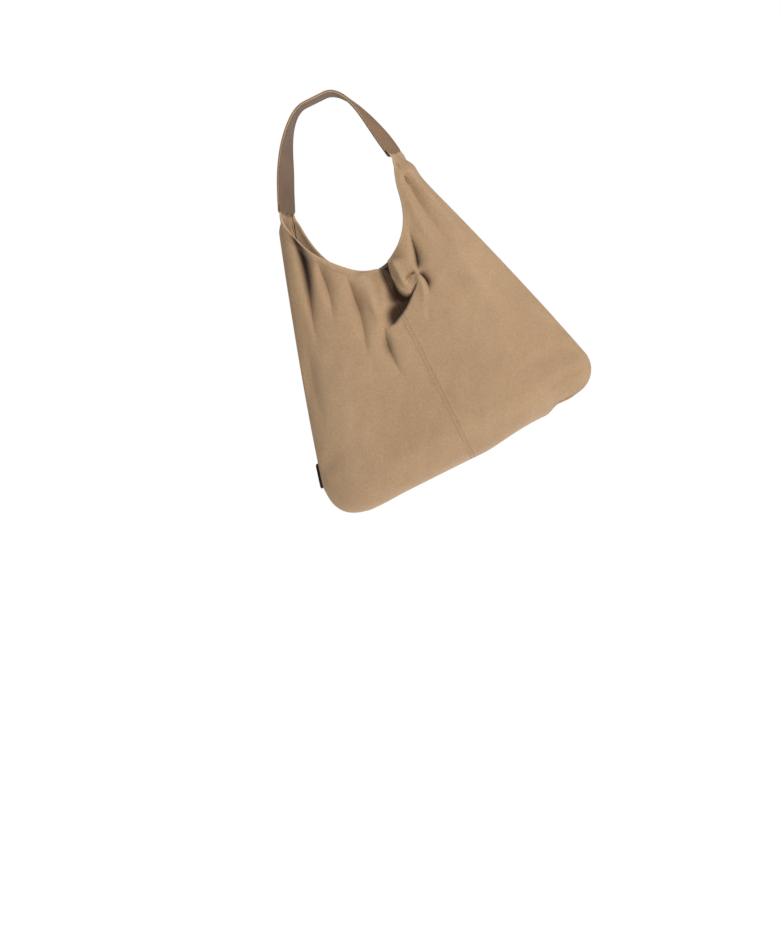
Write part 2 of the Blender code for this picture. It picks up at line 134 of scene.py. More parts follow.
# %% Level sections of the shell
def rise(z):
    return np.clip((z - CORNER_Z) / (NECK_Z - CORNER_Z), 0, 1)


def half_width(z):
    return mix(CORNER_HALF, NECK_OUT, rise(z)) + SIDE_BOW * np.sqrt(np.sin(math.pi * rise(z)) + 1e-12)


def half_depth(z):
    return mix(BELLY_DEPTH, NECK_DEPTH, rise(z)) + BELLY_BOW * np.sin(math.pi * rise(z))


def mouth_half(z):
    down = np.clip((MOUTH_TOP - z) / (MOUTH_TOP - MOUTH_Z), 0, 1)
    return MOUTH_HALF * (1 - down**MOUTH_POWER) ** (1 / MOUTH_POWER)


def snap_pinch(x, z):
    """How far the snap draws each side in towards the other."""
    return PINCH * bump(x, PINCH_HALF, 4) * smooth(*PINCH_FADES, z)


heights = np.linspace(MOUTH_Z, NECK_TUCK, 600)
edge_share = mouth_half(heights) / half_width(heights)


def top_height(a):
    """Height of the mouth's edge, or of a neck's end, on the line a = |s|."""
    return np.interp(a, edge_share, heights)


def mouth_line(out=0.0):
    """Right half of the mouth's edge in the pattern, as x and z in metres, moved out into the leather."""
    turn = np.linspace(0, math.pi / 2, 300)
    x = MOUTH_HALF * np.sin(turn) ** (2 / MOUTH_POWER)
    z = MOUTH_TOP - (MOUTH_TOP - MOUTH_Z) * np.cos(turn) ** (2 / MOUTH_POWER)
    x, z = np.append(x, [MOUTH_HALF] * 20), np.append(z, np.linspace(MOUTH_TOP, NECK_TUCK, 21)[1:])
    along = np.stack([np.gradient(x), np.gradient(z)])
    along /= np.linalg.norm(along, axis=0)
    return x + out * along[1], z - out * along[0]


print("the necks begin at s =", round(float(edge_share[-1]), 3))


def corner_lift(x, z):
    """The bottom's right end is drawn up: its edge rises in two soft steps."""
    rise_here = 7.5 * smooth(5, 100, x / MM) + 7 * smooth(112, 137, x / MM) - 4 * smooth(145, 188, x / MM)
    return rise_here * MM * (1 - smooth(0, 80 * MM, z))


# %% The smooth shell
def shell(s, v, side, inset):
    """Points of the shell. side is -1 for the front and 1 for the back. inset goes in from the face."""
    s, v = np.broadcast_arrays(np.asarray(s, float), np.asarray(v, float))
    a = np.abs(s)
    low = v < ROUND_SHARE
    angle = np.clip(v / ROUND_SHARE, 0, 1) * math.pi / 2
    above = (v - ROUND_SHARE) / (1 - ROUND_SHARE)
    squareness = mix(1, np.where(s < 0, *CORNER_SQUARE), smooth(0, 0.6, a))
    z_round = CORNER_Z - (CORNER_Z - inset) * np.cos(angle) ** squareness
    z = np.where(low, z_round, mix(CORNER_Z, top_height(a), above))
    wide = np.where(low, mix(BASE_HALF, CORNER_HALF, np.sin(angle) ** squareness), half_width(z)) - inset
    deep = np.where(low, (BELLY_DEPTH - inset) * np.sin(angle), half_depth(z) - inset)
    power = np.where(low, 2.3, mix(2.3, 7.5, rise(z) ** 4))
    bulge = np.sqrt(np.clip(1 - a**power, 0, 1))
    x = s * wide
    y = side * (deep * bulge + SUEDE / 2 + HALF_GAP - snap_pinch(x, z))

    edge = np.interp(z, heights, edge_share)
    across = np.clip((1 - a) / np.maximum(1 - edge, 1e-6), 0, 1)
    flat = smooth(*NECK_FLAT, z)
    lean = np.where(s < 0, LEFT_LEAN, RIGHT_LEAN) * (z - NECK_Z)
    neck = np.where(s < 0, -NECK_LEFT, NECK_RIGHT)
    right_shoulder = 5 * MM * bump(z - 391 * MM, 17 * MM) * smooth(0.6, 0.86, s)
    x = mix(x, neck + lean, flat) + right_shoulder
    y = mix(y, side * (0.8 * MM + 17 * MM * across), flat)
    turn = -TWIST * smooth(TWIST_FROM, NECK_Z, z)
    middle = neck + lean * flat
    from_neck = x - middle
    x, y = (
        middle + from_neck * np.cos(turn) - y * np.sin(turn),
        from_neck * np.sin(turn) + y * np.cos(turn),
    )
    return np.stack([x + ACROSS, y, z + corner_lift(x, z) + UP], -1)


belly = [shell(0.0, 0.3, side, 0)[1] for side in (-1, 1)]
print("depth at the belly:", round(float(belly[1] - belly[0]), 4), "m")
STEP = 1e-4  # a short way along s or v, to measure slopes


def directions(surface, s, v):
    """Point, outward normal and upward direction of a surface at (s, v)."""
    here = surface(s, v)
    right = surface(np.minimum(s + STEP, 1), v) - surface(np.maximum(s - STEP, -1), v)
    up = surface(s, np.minimum(v + STEP, 1)) - surface(s, np.maximum(v - STEP, 0))
    normal = np.cross(right, up)
    length = np.linalg.norm(normal, axis=-1, keepdims=True)
    normal = normal / np.maximum(length, 1e-12)
    up = up / np.maximum(np.linalg.norm(up, axis=-1, keepdims=True), 1e-12)
    return here, normal, up


# %% [markdown]
# ## Folds
# Each fold is a line in the pattern with a depth and a width on each of its sides. A valley that is narrow on
# one side and wide on the other reads as leather that has fallen over itself. The deepest folds run from the
# snap, which draws the mouth together, and from the necks, where the whole weight hangs.

# %% Fold tool
def curve_through(points, steps=40):
    """Smooth line through a few pattern points."""
    points = np.array(points, float)
    padded = np.vstack([2 * points[0] - points[1], points, 2 * points[-1] - points[-2]])
    out = []
    for i in range(len(points) - 1):
        a, b, c, d = padded[i : i + 4]
        for t in np.linspace(0, 1, steps // (len(points) - 1), endpoint=False):
            square, cube = 2 * a - 5 * b + 4 * c - d, 3 * b - a - 3 * c + d
            out.append(0.5 * (2 * b + (c - a) * t + square * t * t + cube * t**3))
    out.append(points[-1])
    return np.array(out)


def nearest_on(x, z, line):
    """Each place's distance to the line, its share of the way along, and whether it is on the left."""
    places = np.stack([x.ravel(), z.ravel()], -1)
    apart = (places[:, :1] - line[:, 0]) ** 2 + (places[:, 1:] - line[:, 1]) ** 2
    corner = apart.argmin(1)
    best = np.full(len(places), np.inf)
    share, left = np.zeros(len(places)), np.zeros(len(places), bool)
    for first in (np.maximum(corner - 1, 0), np.minimum(corner, len(line) - 2)):
        start, run = line[first], line[first + 1] - line[first]
        away = places - start
        t = np.clip((away * run).sum(1) / np.maximum((run * run).sum(1), 1e-12), 0, 1)
        distance = np.linalg.norm(away - t[:, None] * run, axis=1)
        nearer = distance < best
        best = np.where(nearer, distance, best)
        share = np.where(nearer, (first + t) / (len(line) - 1), share)
        left = np.where(nearer, run[:, 0] * away[:, 1] - run[:, 1] * away[:, 0] > 0, left)
    return best, share, left


# dark is the share of painted shade that a fold's crease gets for each mm of its depth.
def fold(x, z, points, depth, left, right, starts=0.25, ends=0.35, power=1.7, dark=0.35):
    """Height in mm of a fold at pattern places x, z in mm, and how much painted shade its crease gets.

    left and right are its widths, seen going along it. It gets narrower where it fades out."""
    distance, share, is_left = nearest_on(x, z, curve_through(points))
    strength = smooth(-1e-3, starts, share) * (1 - smooth(1 - ends, 1.001, share))
    width = np.where(is_left, left, right) * mix(0.45, 1, strength)
    height = (depth * strength * bump(distance, width, power)).reshape(x.shape)
    return height, dark * np.maximum(-height, 0)


# %% Folds of the front and the back
FRONT, BACK = -1, 1
HOLLOW_EDGE = [
    (15, 292), (12, 274), (11, 266), (11, 259), (11, 252), (12, 245), (14, 240), (17, 236), (21, 235),
    (27, 238.5), (33, 242), (38.5, 245), (34, 239), (27, 233), (21.5, 228), (14, 221.5), (7, 216.5), (0, 213),
]
HOLLOW_DEPTH = 14
HOLLOW = HOLLOW_EDGE + [(-14, 206), (-34, 204), (-42, 230), (-34, 262), (-24, 292)]
FRONT_FOLDS = [
    dict(points=[(60, 328), (57, 312), (55.5, 301), (54, 290), (52, 279), (49.5, 270), (46, 261), (41, 255)],
         depth=-13, left=6.2, right=3.6, starts=0.65, ends=0.25, power=1.25, dark=0.7),
    dict(points=[(40, 254), (44.5, 252), (47.4, 247), (48.7, 240), (48, 234), (46, 228), (42, 219)],
         depth=-12, left=4.6, right=2.4, starts=0.3, ends=0.5, power=1.4, dark=0.75),
    dict(points=[(41, 254), (36, 256.5), (30.5, 256), (26, 252.5), (23, 247)],
         depth=-5.5, left=2.4, right=2.8, starts=0.25, ends=0.4, dark=1),
    dict(points=[(23, 286), (22, 268), (21, 255), (23, 245), (31, 244)],
         depth=8, left=9, right=7, starts=0.1, ends=0.5),
    dict(points=[(37, 251), (41, 245), (41, 236), (36, 222), (26, 208)],
         depth=5, left=5, right=7, starts=0.2, ends=0.6),
    dict(points=[(-26, 222), (-32, 200), (-36, 178), (-37, 156), (-35, 132)],
         depth=-13, left=6, right=12, starts=0.5, ends=0.75, power=1.3, dark=0.6),
    dict(points=[(-84, 398), (-83, 376), (-87, 348), (-95, 316), (-104, 284), (-114, 250), (-122, 216)],
         depth=-14, left=12, right=5, starts=0.12, ends=0.6, power=1.4, dark=0.9),
    dict(points=[(-66, 340), (-72, 308), (-78, 276), (-88, 236)],
         depth=-10, left=8, right=6, starts=0.4, ends=0.6, power=1.4),
    dict(points=[(-44, 300), (-45, 274), (-50, 242), (-60, 204), (-68, 176)],
         depth=-11, left=7, right=9, starts=0.4, ends=0.6, power=1.4),
    dict(points=[(-26, 292), (-27, 262), (-30, 238), (-36, 208)],
         depth=7, left=9, right=8, starts=0.1, ends=0.6),
    dict(points=[(91, 392), (99, 360), (107, 320), (120, 268), (140, 200)],
         depth=4.5, left=6, right=9, starts=0.1, ends=0.7),
    dict(points=[(86, 388), (86, 352), (90, 310), (101, 250)],
         depth=-7, left=8, right=7, starts=0.15, ends=0.7, power=1.5, dark=0.2),
    dict(points=[(101, 384), (114, 342), (127, 300), (145, 240), (163, 180)],
         depth=-5.5, left=6, right=6, starts=0.15, ends=0.6, power=1.5, dark=0.2),
    dict(points=[(78, 366), (74, 330), (76, 296), (76, 262)], depth=3, left=7, right=7, starts=0.3, ends=0.5),
    dict(points=[(62, 240), (84, 224), (116, 216)], depth=-4, left=8, right=13, starts=0.3, ends=0.6),
    dict(points=[(26, 205), (44, 196), (66, 192)], depth=-3, left=7, right=9, starts=0.2, ends=0.6),
    dict(points=[(110, 300), (104, 240), (112, 180), (126, 120)],
         depth=3, left=16, right=14, starts=0.3, ends=0.5),
    dict(points=[(192, 62), (160, 78), (125, 82), (84, 72)],
         depth=-5, left=13, right=9, starts=0.3, ends=0.7),
    dict(points=[(193, 88), (172, 118), (152, 160)], depth=-4, left=10, right=10, starts=0.3, ends=0.7),
    dict(points=[(192, 44), (150, 42), (124, 36), (96, 36)],
         depth=-4.5, left=7, right=9, starts=0.2, ends=0.5),
    dict(points=[(-194, 70), (-160, 88), (-120, 82)], depth=-4, left=12, right=13, starts=0.2, ends=0.7),
    dict(points=[(-150, 30), (-60, 26), (40, 28), (110, 34)],
         depth=-2.6, left=11, right=12, starts=0.3, ends=0.4),
    dict(points=[(-130, 240), (-150, 180), (-158, 120)], depth=-4, left=10, right=12, starts=0.3, ends=0.5),
]
BACK_FOLDS = [
    dict(points=[(5, 272), (6, 250), (1, 228), (-4, 196)], depth=-8, left=11, right=12, starts=0.4, ends=0.6),
    dict(points=[(64, 330), (56, 300), (44, 268), (26, 240)],
         depth=-7, left=9, right=7, starts=0.4, ends=0.4),
    dict(points=[(-64, 330), (-56, 300), (-46, 270), (-36, 236)],
         depth=-6, left=7, right=9, starts=0.4, ends=0.5),
    dict(points=[(-24, 276), (-28, 250), (-40, 216)], depth=4, left=8, right=8, starts=0.4, ends=0.6),
    dict(points=[(76, 400), (84, 366), (94, 326), (108, 272)],
         depth=-8, left=10, right=6, starts=0.05, ends=0.5),
    dict(points=[(-80, 396), (-88, 356), (-98, 310), (-114, 256)],
         depth=-6, left=6, right=9, starts=0.05, ends=0.6),
    dict(points=[(30, 214), (52, 180), (64, 140)], depth=-4, left=10, right=8, starts=0.3, ends=0.6),
    dict(points=[(-170, 80), (-110, 92), (-40, 84)], depth=-3, left=14, right=16, starts=0.3, ends=0.6),
    dict(points=[(180, 76), (130, 98), (70, 92)], depth=-3, left=16, right=14, starts=0.3, ends=0.6),
    dict(points=[(130, 230), (120, 180), (128, 130)], depth=-2.5, left=12, right=12, starts=0.3, ends=0.6),
]
print("folds:", len(FRONT_FOLDS), "in front and", len(BACK_FOLDS), "behind")


# %% Relief: folds, seams and slack together
def depth_inside(x, z, outline):
    """Distance in mm to the outline's edge, positive inside it."""
    corners = np.array(outline, float)
    flat = np.stack([x.ravel(), z.ravel()], -1)
    nearest = np.full(len(flat), np.inf)
    inside = np.zeros(len(flat), bool)
    for a, b in zip(corners, np.roll(corners, -1, axis=0)):
        edge = b - a
        share = np.clip(((flat - a) @ edge) / (edge @ edge), 0, 1)
        nearest = np.minimum(nearest, np.linalg.norm(flat - a - share[:, None] * edge, axis=1))
        crosses = (a[1] > flat[:, 1]) != (b[1] > flat[:, 1])
        run = (flat[:, 1] - a[1]) / (edge[1] if edge[1] else 1e-9)
        inside ^= crosses & (flat[:, 0] < a[0] + run * edge[0])
    return (np.where(inside, 1, -1) * nearest).reshape(x.shape)


def slack(x, z, phase):
    """Slow unevenness of a soft bag, in mm."""
    return (
        1.3 * np.sin(x / 31 + 0.6 * np.sin(z / 47 + phase) + phase)
        + 0.9 * np.sin(z / 27 - x / 53 + 2.1 * phase)
        + 0.5 * np.sin(x / 13 + z / 17 + phase)
        + 0.22 * np.sin(x / 5.3 - z / 8.1 + 3 * phase) * np.sin(z / 23 + phase)
    )


def pattern_place(s, v, side):
    base = shell(s, v, side, SUEDE / 2)
    return (base[..., 0] - ACROSS) / MM, (base[..., 2] - UP) / MM


def all_folds(x, z, side):
    """Height in mm of one side's folds together, and the painted shade in their creases, from 0 to 1."""
    total, dark = 0 * x, 0 * x
    for one in FRONT_FOLDS if side == FRONT else BACK_FOLDS:
        height, darker = fold(x, z, **one)
        total, dark = total + height, np.maximum(dark, darker)
    # The sunken hollow by the snap also gets painted shade, as strong as it is deep.
    if side == FRONT:
        from_edge = nearest_on(x, z, curve_through(HOLLOW_EDGE, 60))[0].reshape(x.shape)
        reach = mix(34, 21, smooth(232, 262, z))  # the hollow runs out this far from its edge
        in_hollow = smooth(-0.6, 3.0, depth_inside(x, z, HOLLOW)) * (1 - smooth(5, reach, from_edge))
        down = HOLLOW_DEPTH * in_hollow
        total, dark = total - down, np.maximum(dark, down)
    return total, smooth(1.5, 11, dark)


SNAP_HEIGHT, SNAP_FLAT = 266, 15  # mm: the leather stays flat round the snap
BOTTOM_ROUND = 75  # mm of leather that go round the bottom on one side
NECK_CALM = (368, 396)  # mm: folds fade out between these heights
DEEPEST = 15  # mm


def relief(s, v, side):
    """How far the leather's face stands out from the smooth shell, in metres."""
    x, z = pattern_place(s, v, side)
    total = slack(x, z, 0.0 if side == FRONT else 2.0) + all_folds(x, z, side)[0]
    at_snap = bump(np.hypot(x, z - SNAP_HEIGHT), SNAP_FLAT, 4)
    to_edge = (1 - np.abs(s)) * half_width(z * MM) / MM
    from_bottom = v / ROUND_SHARE * BOTTOM_ROUND
    keep = (1 - at_snap) * smooth(0, 7, to_edge) * smooth(0, 12, from_bottom)
    keep = keep * (1 - 0.85 * smooth(*NECK_CALM, z))
    flat_x = np.abs(s) * half_width(z * MM) / MM
    from_top = nearest_on(flat_x, z, np.stack(mouth_line(), -1)[::2] / MM)[0].reshape(z.shape)
    keep = keep * mix(mix(1, 0.3, smooth(12, 40, flat_x)), 1, smooth(0, 13, from_top))
    total = np.maximum(total * keep, -DEEPEST)
    ridge = 0.5 * bump(np.abs(x) - 1.6, 2.6) - 0.45 * bump(x, 0.9)
    ridge = ridge - 0.25 * bump(np.abs(x) - MIDDLE_ROW / MM, 0.8)
    pucker = 0.14 * np.sin(z / 1.15) * bump(np.abs(x) - 2.6, 2.6)
    hem = 0.45 * (1 - smooth(6, 9, from_top)) - 0.25 * bump(from_top - 7.5, 1.2)
    side_seam = -0.8 * bump(to_edge, 1.2) + 0.5 * bump(to_edge - 2.2, 1.6)
    seams = (ridge + pucker) * smooth(0, 20, from_bottom) + hem + side_seam
    return (total + seams) * MM


def leather(side):
    """The suede's middle layer on one side, as a function of (s, v)."""

    def surface(s, v, further_in=0.0):
        smooth_shell = lambda p, q: shell(p, q, side, SUEDE / 2)
        base, normal, _ = directions(smooth_shell, s, v)
        outward = normal * -side
        return base + outward * (relief(s, v, side) - further_in)[..., None]

    return surface


skins = {FRONT: leather(FRONT), BACK: leather(BACK)}
tried = relief(*np.meshgrid(np.linspace(-0.9, 0.9, 90), np.linspace(0.1, 0.9, 60)), FRONT) / MM
print("the front's relief runs from", round(float(tried.min()), 1), "to", round(float(tried.max()), 1), "mm")


def place_on(side, s, v, out=0.0):
    """Point, outward normal and upward direction on the suede. out is measured from its middle layer."""
    point, normal, up = directions(skins[side], s, v)
    normal = normal * -side
    return point + normal * out, normal, up


def height_share(a, z):
    """The v at a height on the line a = |s|."""
    return ROUND_SHARE + (1 - ROUND_SHARE) * (z - CORNER_Z) / (top_height(a) - CORNER_Z)


# %% [markdown]
# ## Finishes
# Suede is leather with its flesh side out. Its nap scatters light, so it looks flat and matte, with soft
# patches where it has been stroked and a paler rubbed edge along the mouth. The ridges of folds are made a
# little paler as painted highlight, and the creases darker as painted shade. Each finish below is made of
# nodes that read Object coordinates in metres, so a scale of 1000 gives about one feature to a millimetre.

# %% Node tools
def new_material(name, roughness, metallic=0.0, sheen=0.0, specular=0.5):
    material = bpy.data.materials.new(name)
    material.use_nodes = True
    shader = material.node_tree.nodes["Principled BSDF"]
    shader.inputs["Roughness"].default_value = roughness
    shader.inputs["Metallic"].default_value = metallic
    shader.inputs["Sheen Weight"].default_value = sheen
    shader.inputs["Sheen Roughness"].default_value = 0.5
    shader.inputs["Specular IOR Level"].default_value = specular
    return material, shader


def add_node(material, kind, **settings):
    node = material.node_tree.nodes.new(kind)
    for key, value in settings.items():
        if key in node.inputs:
            node.inputs[key].default_value = value
        else:
            setattr(node, key, value)
    return node


def link(material, out, into):
    material.node_tree.links.new(out, into)


def noise(material, scale, detail=3.0, stretch=None):
    """A grey noise on Object coordinates, as an output socket."""
    place = add_node(material, "ShaderNodeTexCoord").outputs["Object"]
    if stretch:
        mapping = add_node(material, "ShaderNodeMapping")
        mapping.inputs["Scale"].default_value = stretch
        link(material, place, mapping.inputs["Vector"])
        place = mapping.outputs["Vector"]
    texture = add_node(material, "ShaderNodeTexNoise")
    texture.inputs["Scale"].default_value = scale
    texture.inputs["Detail"].default_value = detail
    link(material, place, texture.inputs["Vector"])
    return texture.outputs["Fac"]


def between(material, value, low, high, dark, light):
    """Colour that goes from dark to light as value goes from low to high."""
    ramp = add_node(material, "ShaderNodeValToRGB")
    ramp.color_ramp.elements[0].position = low
    ramp.color_ramp.elements[0].color = (*dark, 1)
    ramp.color_ramp.elements[1].position = high
    ramp.color_ramp.elements[1].color = (*light, 1)
    link(material, value, ramp.inputs["Fac"])
    return ramp.outputs["Color"]


def blend_colours(material, share, a, b, mode="MIX"):
    node = add_node(material, "ShaderNodeMix", data_type="RGBA", blend_type=mode)
    colours = [i for i in node.inputs if i.type == "RGBA"]
    for socket, value in ((node.inputs[0], share), (colours[0], a), (colours[1], b)):
        if isinstance(value, bpy.types.NodeSocket):
            link(material, value, socket)
        else:
            socket.default_value = value
    return [o for o in node.outputs if o.type == "RGBA"][0]


def raise_surface(material, shader, heights_and_depths):
    """Chains bumps: each is a grey height and the depth in metres that it stands for."""
    last = None
    for height, depth in heights_and_depths:
        node = add_node(material, "ShaderNodeBump")
        node.inputs["Distance"].default_value = depth
        link(material, height, node.inputs["Height"])
        if last:
            link(material, last, node.inputs["Normal"])
        last = node.outputs["Normal"]
    link(material, last, shader.inputs["Normal"])


# %% Suede
CREASE_SHADE_COLOUR = (0.13, 0.095, 0.09)  # painted shade: the suede's colour is multiplied by this in deep creases and in the hollow by the snap


def make_suede(name, dark, light, paler_for_wear_and_highlight):
    """Nap in three sizes, with patches that have been stroked the other way, rubbed edges, a little painted
    highlight on fold ridges and painted shade in creases.
    """
    material, shader = new_material(name, 0.94, sheen=0.18, specular=0.15)
    patches = between(material, noise(material, 9, 3), 0.3, 0.72, dark, light)
    clouds = between(material, noise(material, 42, 4), 0.3, 0.75, (0.97, 0.97, 0.97), (1.03, 1.03, 1.02))
    specks = between(material, noise(material, 330, 5), 0.3, 0.72, (0.93, 0.92, 0.91), (1.07, 1.07, 1.07))
    nap = between(material, noise(material, 1500, 2), 0.3, 0.7, (0.92, 0.91, 0.9), (1.07, 1.07, 1.07))
    colour = blend_colours(material, 1.0, patches, clouds, "MULTIPLY")
    colour = blend_colours(material, 1.0, colour, specks, "MULTIPLY")
    colour = blend_colours(material, 1.0, colour, nap, "MULTIPLY")
    # Paler colour: rubbed wear along the mouth and, as painted highlight, on the ridges of folds.
    wear_and_highlight = add_node(material, "ShaderNodeAttribute", attribute_name="wear_and_highlight").outputs["Fac"]
    colour = blend_colours(material, wear_and_highlight, colour, (*paler_for_wear_and_highlight, 1))
    # Painted shade: an attribute from the folds darkens the suede in creases and in the hollow by the snap.
    hollow = add_node(material, "ShaderNodeAttribute", attribute_name="hollow").outputs["Fac"]
    crease_shaded = blend_colours(material, 1.0, colour, (*CREASE_SHADE_COLOUR, 1), "MULTIPLY")
    colour = blend_colours(material, hollow, colour, crease_shaded)
    link(material, colour, shader.inputs["Base Color"])
    fine, middling, coarse = noise(material, 1500, 3), noise(material, 420, 4), noise(material, 90, 3)
    raise_surface(material, shader, [(fine, 0.00022), (middling, 0.00035), (coarse, 0.0007)])
    return material


suede = make_suede("tan_suede", (0.395, 0.259, 0.150), (0.43, 0.287, 0.168), (0.58, 0.43, 0.28))


# %% Smooth leather, its cut edges, and thread
def make_leather(name, dark, light, roughness, grain=900):
    """Fine pebbled grain, with pores darker than the skin between them."""
    material, shader = new_material(name, roughness, sheen=0.05, specular=0.25)
    tone = between(material, noise(material, 25, 4), 0.3, 0.7, dark, light)
    pores = between(material, noise(material, grain, 3), 0.36, 0.6, (0.82, 0.8, 0.78), (1.05, 1.05, 1.05))
    wear_and_highlight = add_node(material, "ShaderNodeAttribute", attribute_name="wear_and_highlight").outputs["Fac"]
    colour = blend_colours(material, 1.0, tone, pores, "MULTIPLY")
    colour = blend_colours(material, wear_and_highlight, colour, (*[min(1, 1.45 * c) for c in light], 1))
    link(material, colour, shader.inputs["Base Color"])
    cells = add_node(material, "ShaderNodeTexVoronoi", feature="F1")
    cells.inputs["Scale"].default_value = grain
    link(material, add_node(material, "ShaderNodeTexCoord").outputs["Object"], cells.inputs["Vector"])
    raise_surface(material, shader, [(cells.outputs["Distance"], 0.00018), (noise(material, 120, 4), 0.0005)])
    return material


def make_thread(name, colour):
    """Waxed thread: two tones wound round each other."""
    material, shader = new_material(name, 0.6, sheen=0.2, specular=0.35)
    shade, shine = [0.7 * c for c in colour], [1.35 * c for c in colour]
    tone = between(material, noise(material, 2600, 2), 0.35, 0.65, shade, shine)
    link(material, tone, shader.inputs["Base Color"])
    raise_surface(material, shader, [(noise(material, 3000, 2), 0.0002)])
    return material


strap_leather = make_leather("strap_leather", (0.215, 0.125, 0.07), (0.255, 0.152, 0.088), 0.62)
strap_inside = make_leather("strap_inside", (0.15, 0.092, 0.058), (0.185, 0.118, 0.077), 0.66)
cut_edge = make_leather("cut_edge", (0.38, 0.27, 0.17), (0.47, 0.34, 0.22), 0.8, grain=1800)
facing_leather = make_leather("facing_leather", (0.27, 0.175, 0.105), (0.34, 0.23, 0.14), 0.68)
patch_leather = make_leather("patch_leather", (0.030, 0.026, 0.018), (0.052, 0.044, 0.030), 0.5)
brown_thread = make_thread("brown_thread", (0.125, 0.068, 0.042))
tan_thread = make_thread("tan_thread", (0.30, 0.20, 0.12))
strap_thread = make_thread("strap_thread", (0.2, 0.122, 0.072))
cotton_thread = make_thread("cotton_thread", (0.42, 0.34, 0.24))


# %% Woven cloth
WAVE_SCALE = 0.314  # a wave texture of this scale repeats once in a metre


def make_cloth(name, dark, light, pitch):
    """Plain weave: two sets of bands, square to each other, at the yarns' pitch in metres."""
    material, shader = new_material(name, 0.92, sheen=0.1, specular=0.2)
    place = add_node(material, "ShaderNodeTexCoord").outputs["Object"]
    bands = []
    for direction in ("X", "Z"):
        wave = add_node(material, "ShaderNodeTexWave", bands_direction=direction)
        wave.inputs["Scale"].default_value = WAVE_SCALE / pitch
        wave.inputs["Distortion"].default_value = 0.6
        link(material, place, wave.inputs["Vector"])
        bands.append(wave.outputs["Fac"])
    over = add_node(material, "ShaderNodeMath", operation="MAXIMUM")
    for i in range(2):
        link(material, bands[i], over.inputs[i])
    weave = between(material, over.outputs[0], 0.1, 0.95, dark, light)
    faded = between(material, noise(material, 20, 3), 0.3, 0.7, (0.9, 0.9, 0.9), (1.05, 1.05, 1.05))
    link(material, blend_colours(material, 1.0, weave, faded, "MULTIPLY"), shader.inputs["Base Color"])
    raise_surface(material, shader, [(over.outputs[0], 0.00025), (noise(material, 150, 3), 0.0004)])
    return material


lining_cloth = make_cloth("lining_cloth", (0.39, 0.285, 0.175), (0.57, 0.44, 0.29), 0.0011)
zip_tape_cloth = make_cloth("zip_tape_cloth", (0.16, 0.11, 0.07), (0.27, 0.19, 0.12), 0.0007)


# %% Brass
def make_brass(name, colour, roughness):
    """Rolled brass, with fine brushing and a little tarnish."""
    material, shader = new_material(name, roughness, metallic=1.0)
    tarnish = between(material, noise(material, 180, 4), 0.35, 0.7, [0.72 * c for c in colour], colour)
    link(material, tarnish, shader.inputs["Base Color"])
    brushing = noise(material, 900, 2, stretch=(0.2, 1, 6))
    raise_surface(material, shader, [(brushing, 0.00008)])
    return material


snap_brass = make_brass("snap_brass", (0.72, 0.60, 0.42), 0.32)
zip_brass = make_brass("zip_brass", (0.66, 0.50, 0.28), 0.36)
print("finishes:", len([m for m in bpy.data.materials if m.use_nodes]))


# %% [markdown]
# ## Making a sheet of leather
# A sheet starts as Blender's grid. Its points are laid on the pattern, a Solidify modifier gives it the
# leather's thickness, and the modifier is applied, so that what is left is a closed piece of leather.

# %% Sheet tools
def finish_mesh(piece, name, *materials, body=None, replaces=(), slot=None, angle=40):
    """Names a finished piece, puts its place into its mesh, and ties it to the frame."""
    piece.name = piece.data.name = name
    bpy.ops.object.select_all(action="DESELECT")
    piece.select_set(True)
    bpy.context.view_layer.objects.active = piece
    bpy.ops.object.transform_apply(location=True, rotation=True, scale=True)
    piece.data.materials.clear()
    for material in materials:
        piece.data.materials.append(material)
    bpy.ops.object.shade_smooth_by_angle(angle=math.radians(angle))
    if body:
        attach(piece, body)
    if replaces:
        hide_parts(*replaces)
    piece.select_set(False)
    return piece


def apply_modifiers(piece):
    bpy.ops.object.select_all(action="DESELECT")
    piece.select_set(True)
    bpy.context.view_layer.objects.active = piece
    for modifier in list(piece.modifiers):
        bpy.ops.object.modifier_apply(modifier=modifier.name)


def face_outwards(piece):
    """Turns the faces of a closed piece outwards."""
    work = bmesh.new()
    work.from_mesh(piece.data)
    bmesh.ops.recalc_face_normals(work, faces=work.faces[:])
    work.to_mesh(piece.data)
    work.free()


def lay_grid(points, wear_and_highlight=None, **more):
    """A grid whose rows and columns lie on points[row, column]. rub and any others become its attributes."""
    rows, columns = points.shape[:2]
    bpy.ops.mesh.primitive_grid_add(x_subdivisions=columns - 1, y_subdivisions=rows - 1, size=2)
    grid = bpy.context.object
    flat = np.zeros(len(grid.data.vertices) * 3)
    grid.data.vertices.foreach_get("co", flat)
    flat = flat.reshape(-1, 3)
    column = np.rint((flat[:, 0] + 1) / 2 * (columns - 1)).astype(int)
    row = np.rint((flat[:, 1] + 1) / 2 * (rows - 1)).astype(int)
    grid.data.vertices.foreach_set("co", points[row, column].ravel())
    for name, field in {"wear_and_highlight": wear_and_highlight, **more}.items():
        values = np.zeros(len(flat)) if field is None else field[row, column]
        grid.data.attributes.new(name, "FLOAT", "POINT").data.foreach_set("value", values.astype(np.float32))
    grid.data.update()
    return grid


def thicken(piece, thickness, edge_slot=0, rounded=0.0):
    solid = piece.modifiers.new("thickness", "SOLIDIFY")
    solid.thickness = thickness
    solid.offset = 0
    solid.material_offset_rim = edge_slot
    if rounded:
        edge = piece.modifiers.new("rounded edges", "BEVEL")
        edge.width = rounded
        edge.segments = 2
        edge.limit_method = "ANGLE"
        edge.angle_limit = math.radians(50)
    apply_modifiers(piece)
    face_outwards(piece)


def area_of(piece):
    return sum(face.area for face in piece.data.polygons)


# %% [markdown]
# ## The four suede panels
# Four panels make the body. Along the middle, side and bottom seams each panel's edge turns inwards, as a
# sewn seam does, and round the mouth the edge is rolled over into a hem. The columns are closest together by
# the middle seam and the side seams, where the relief is finest.

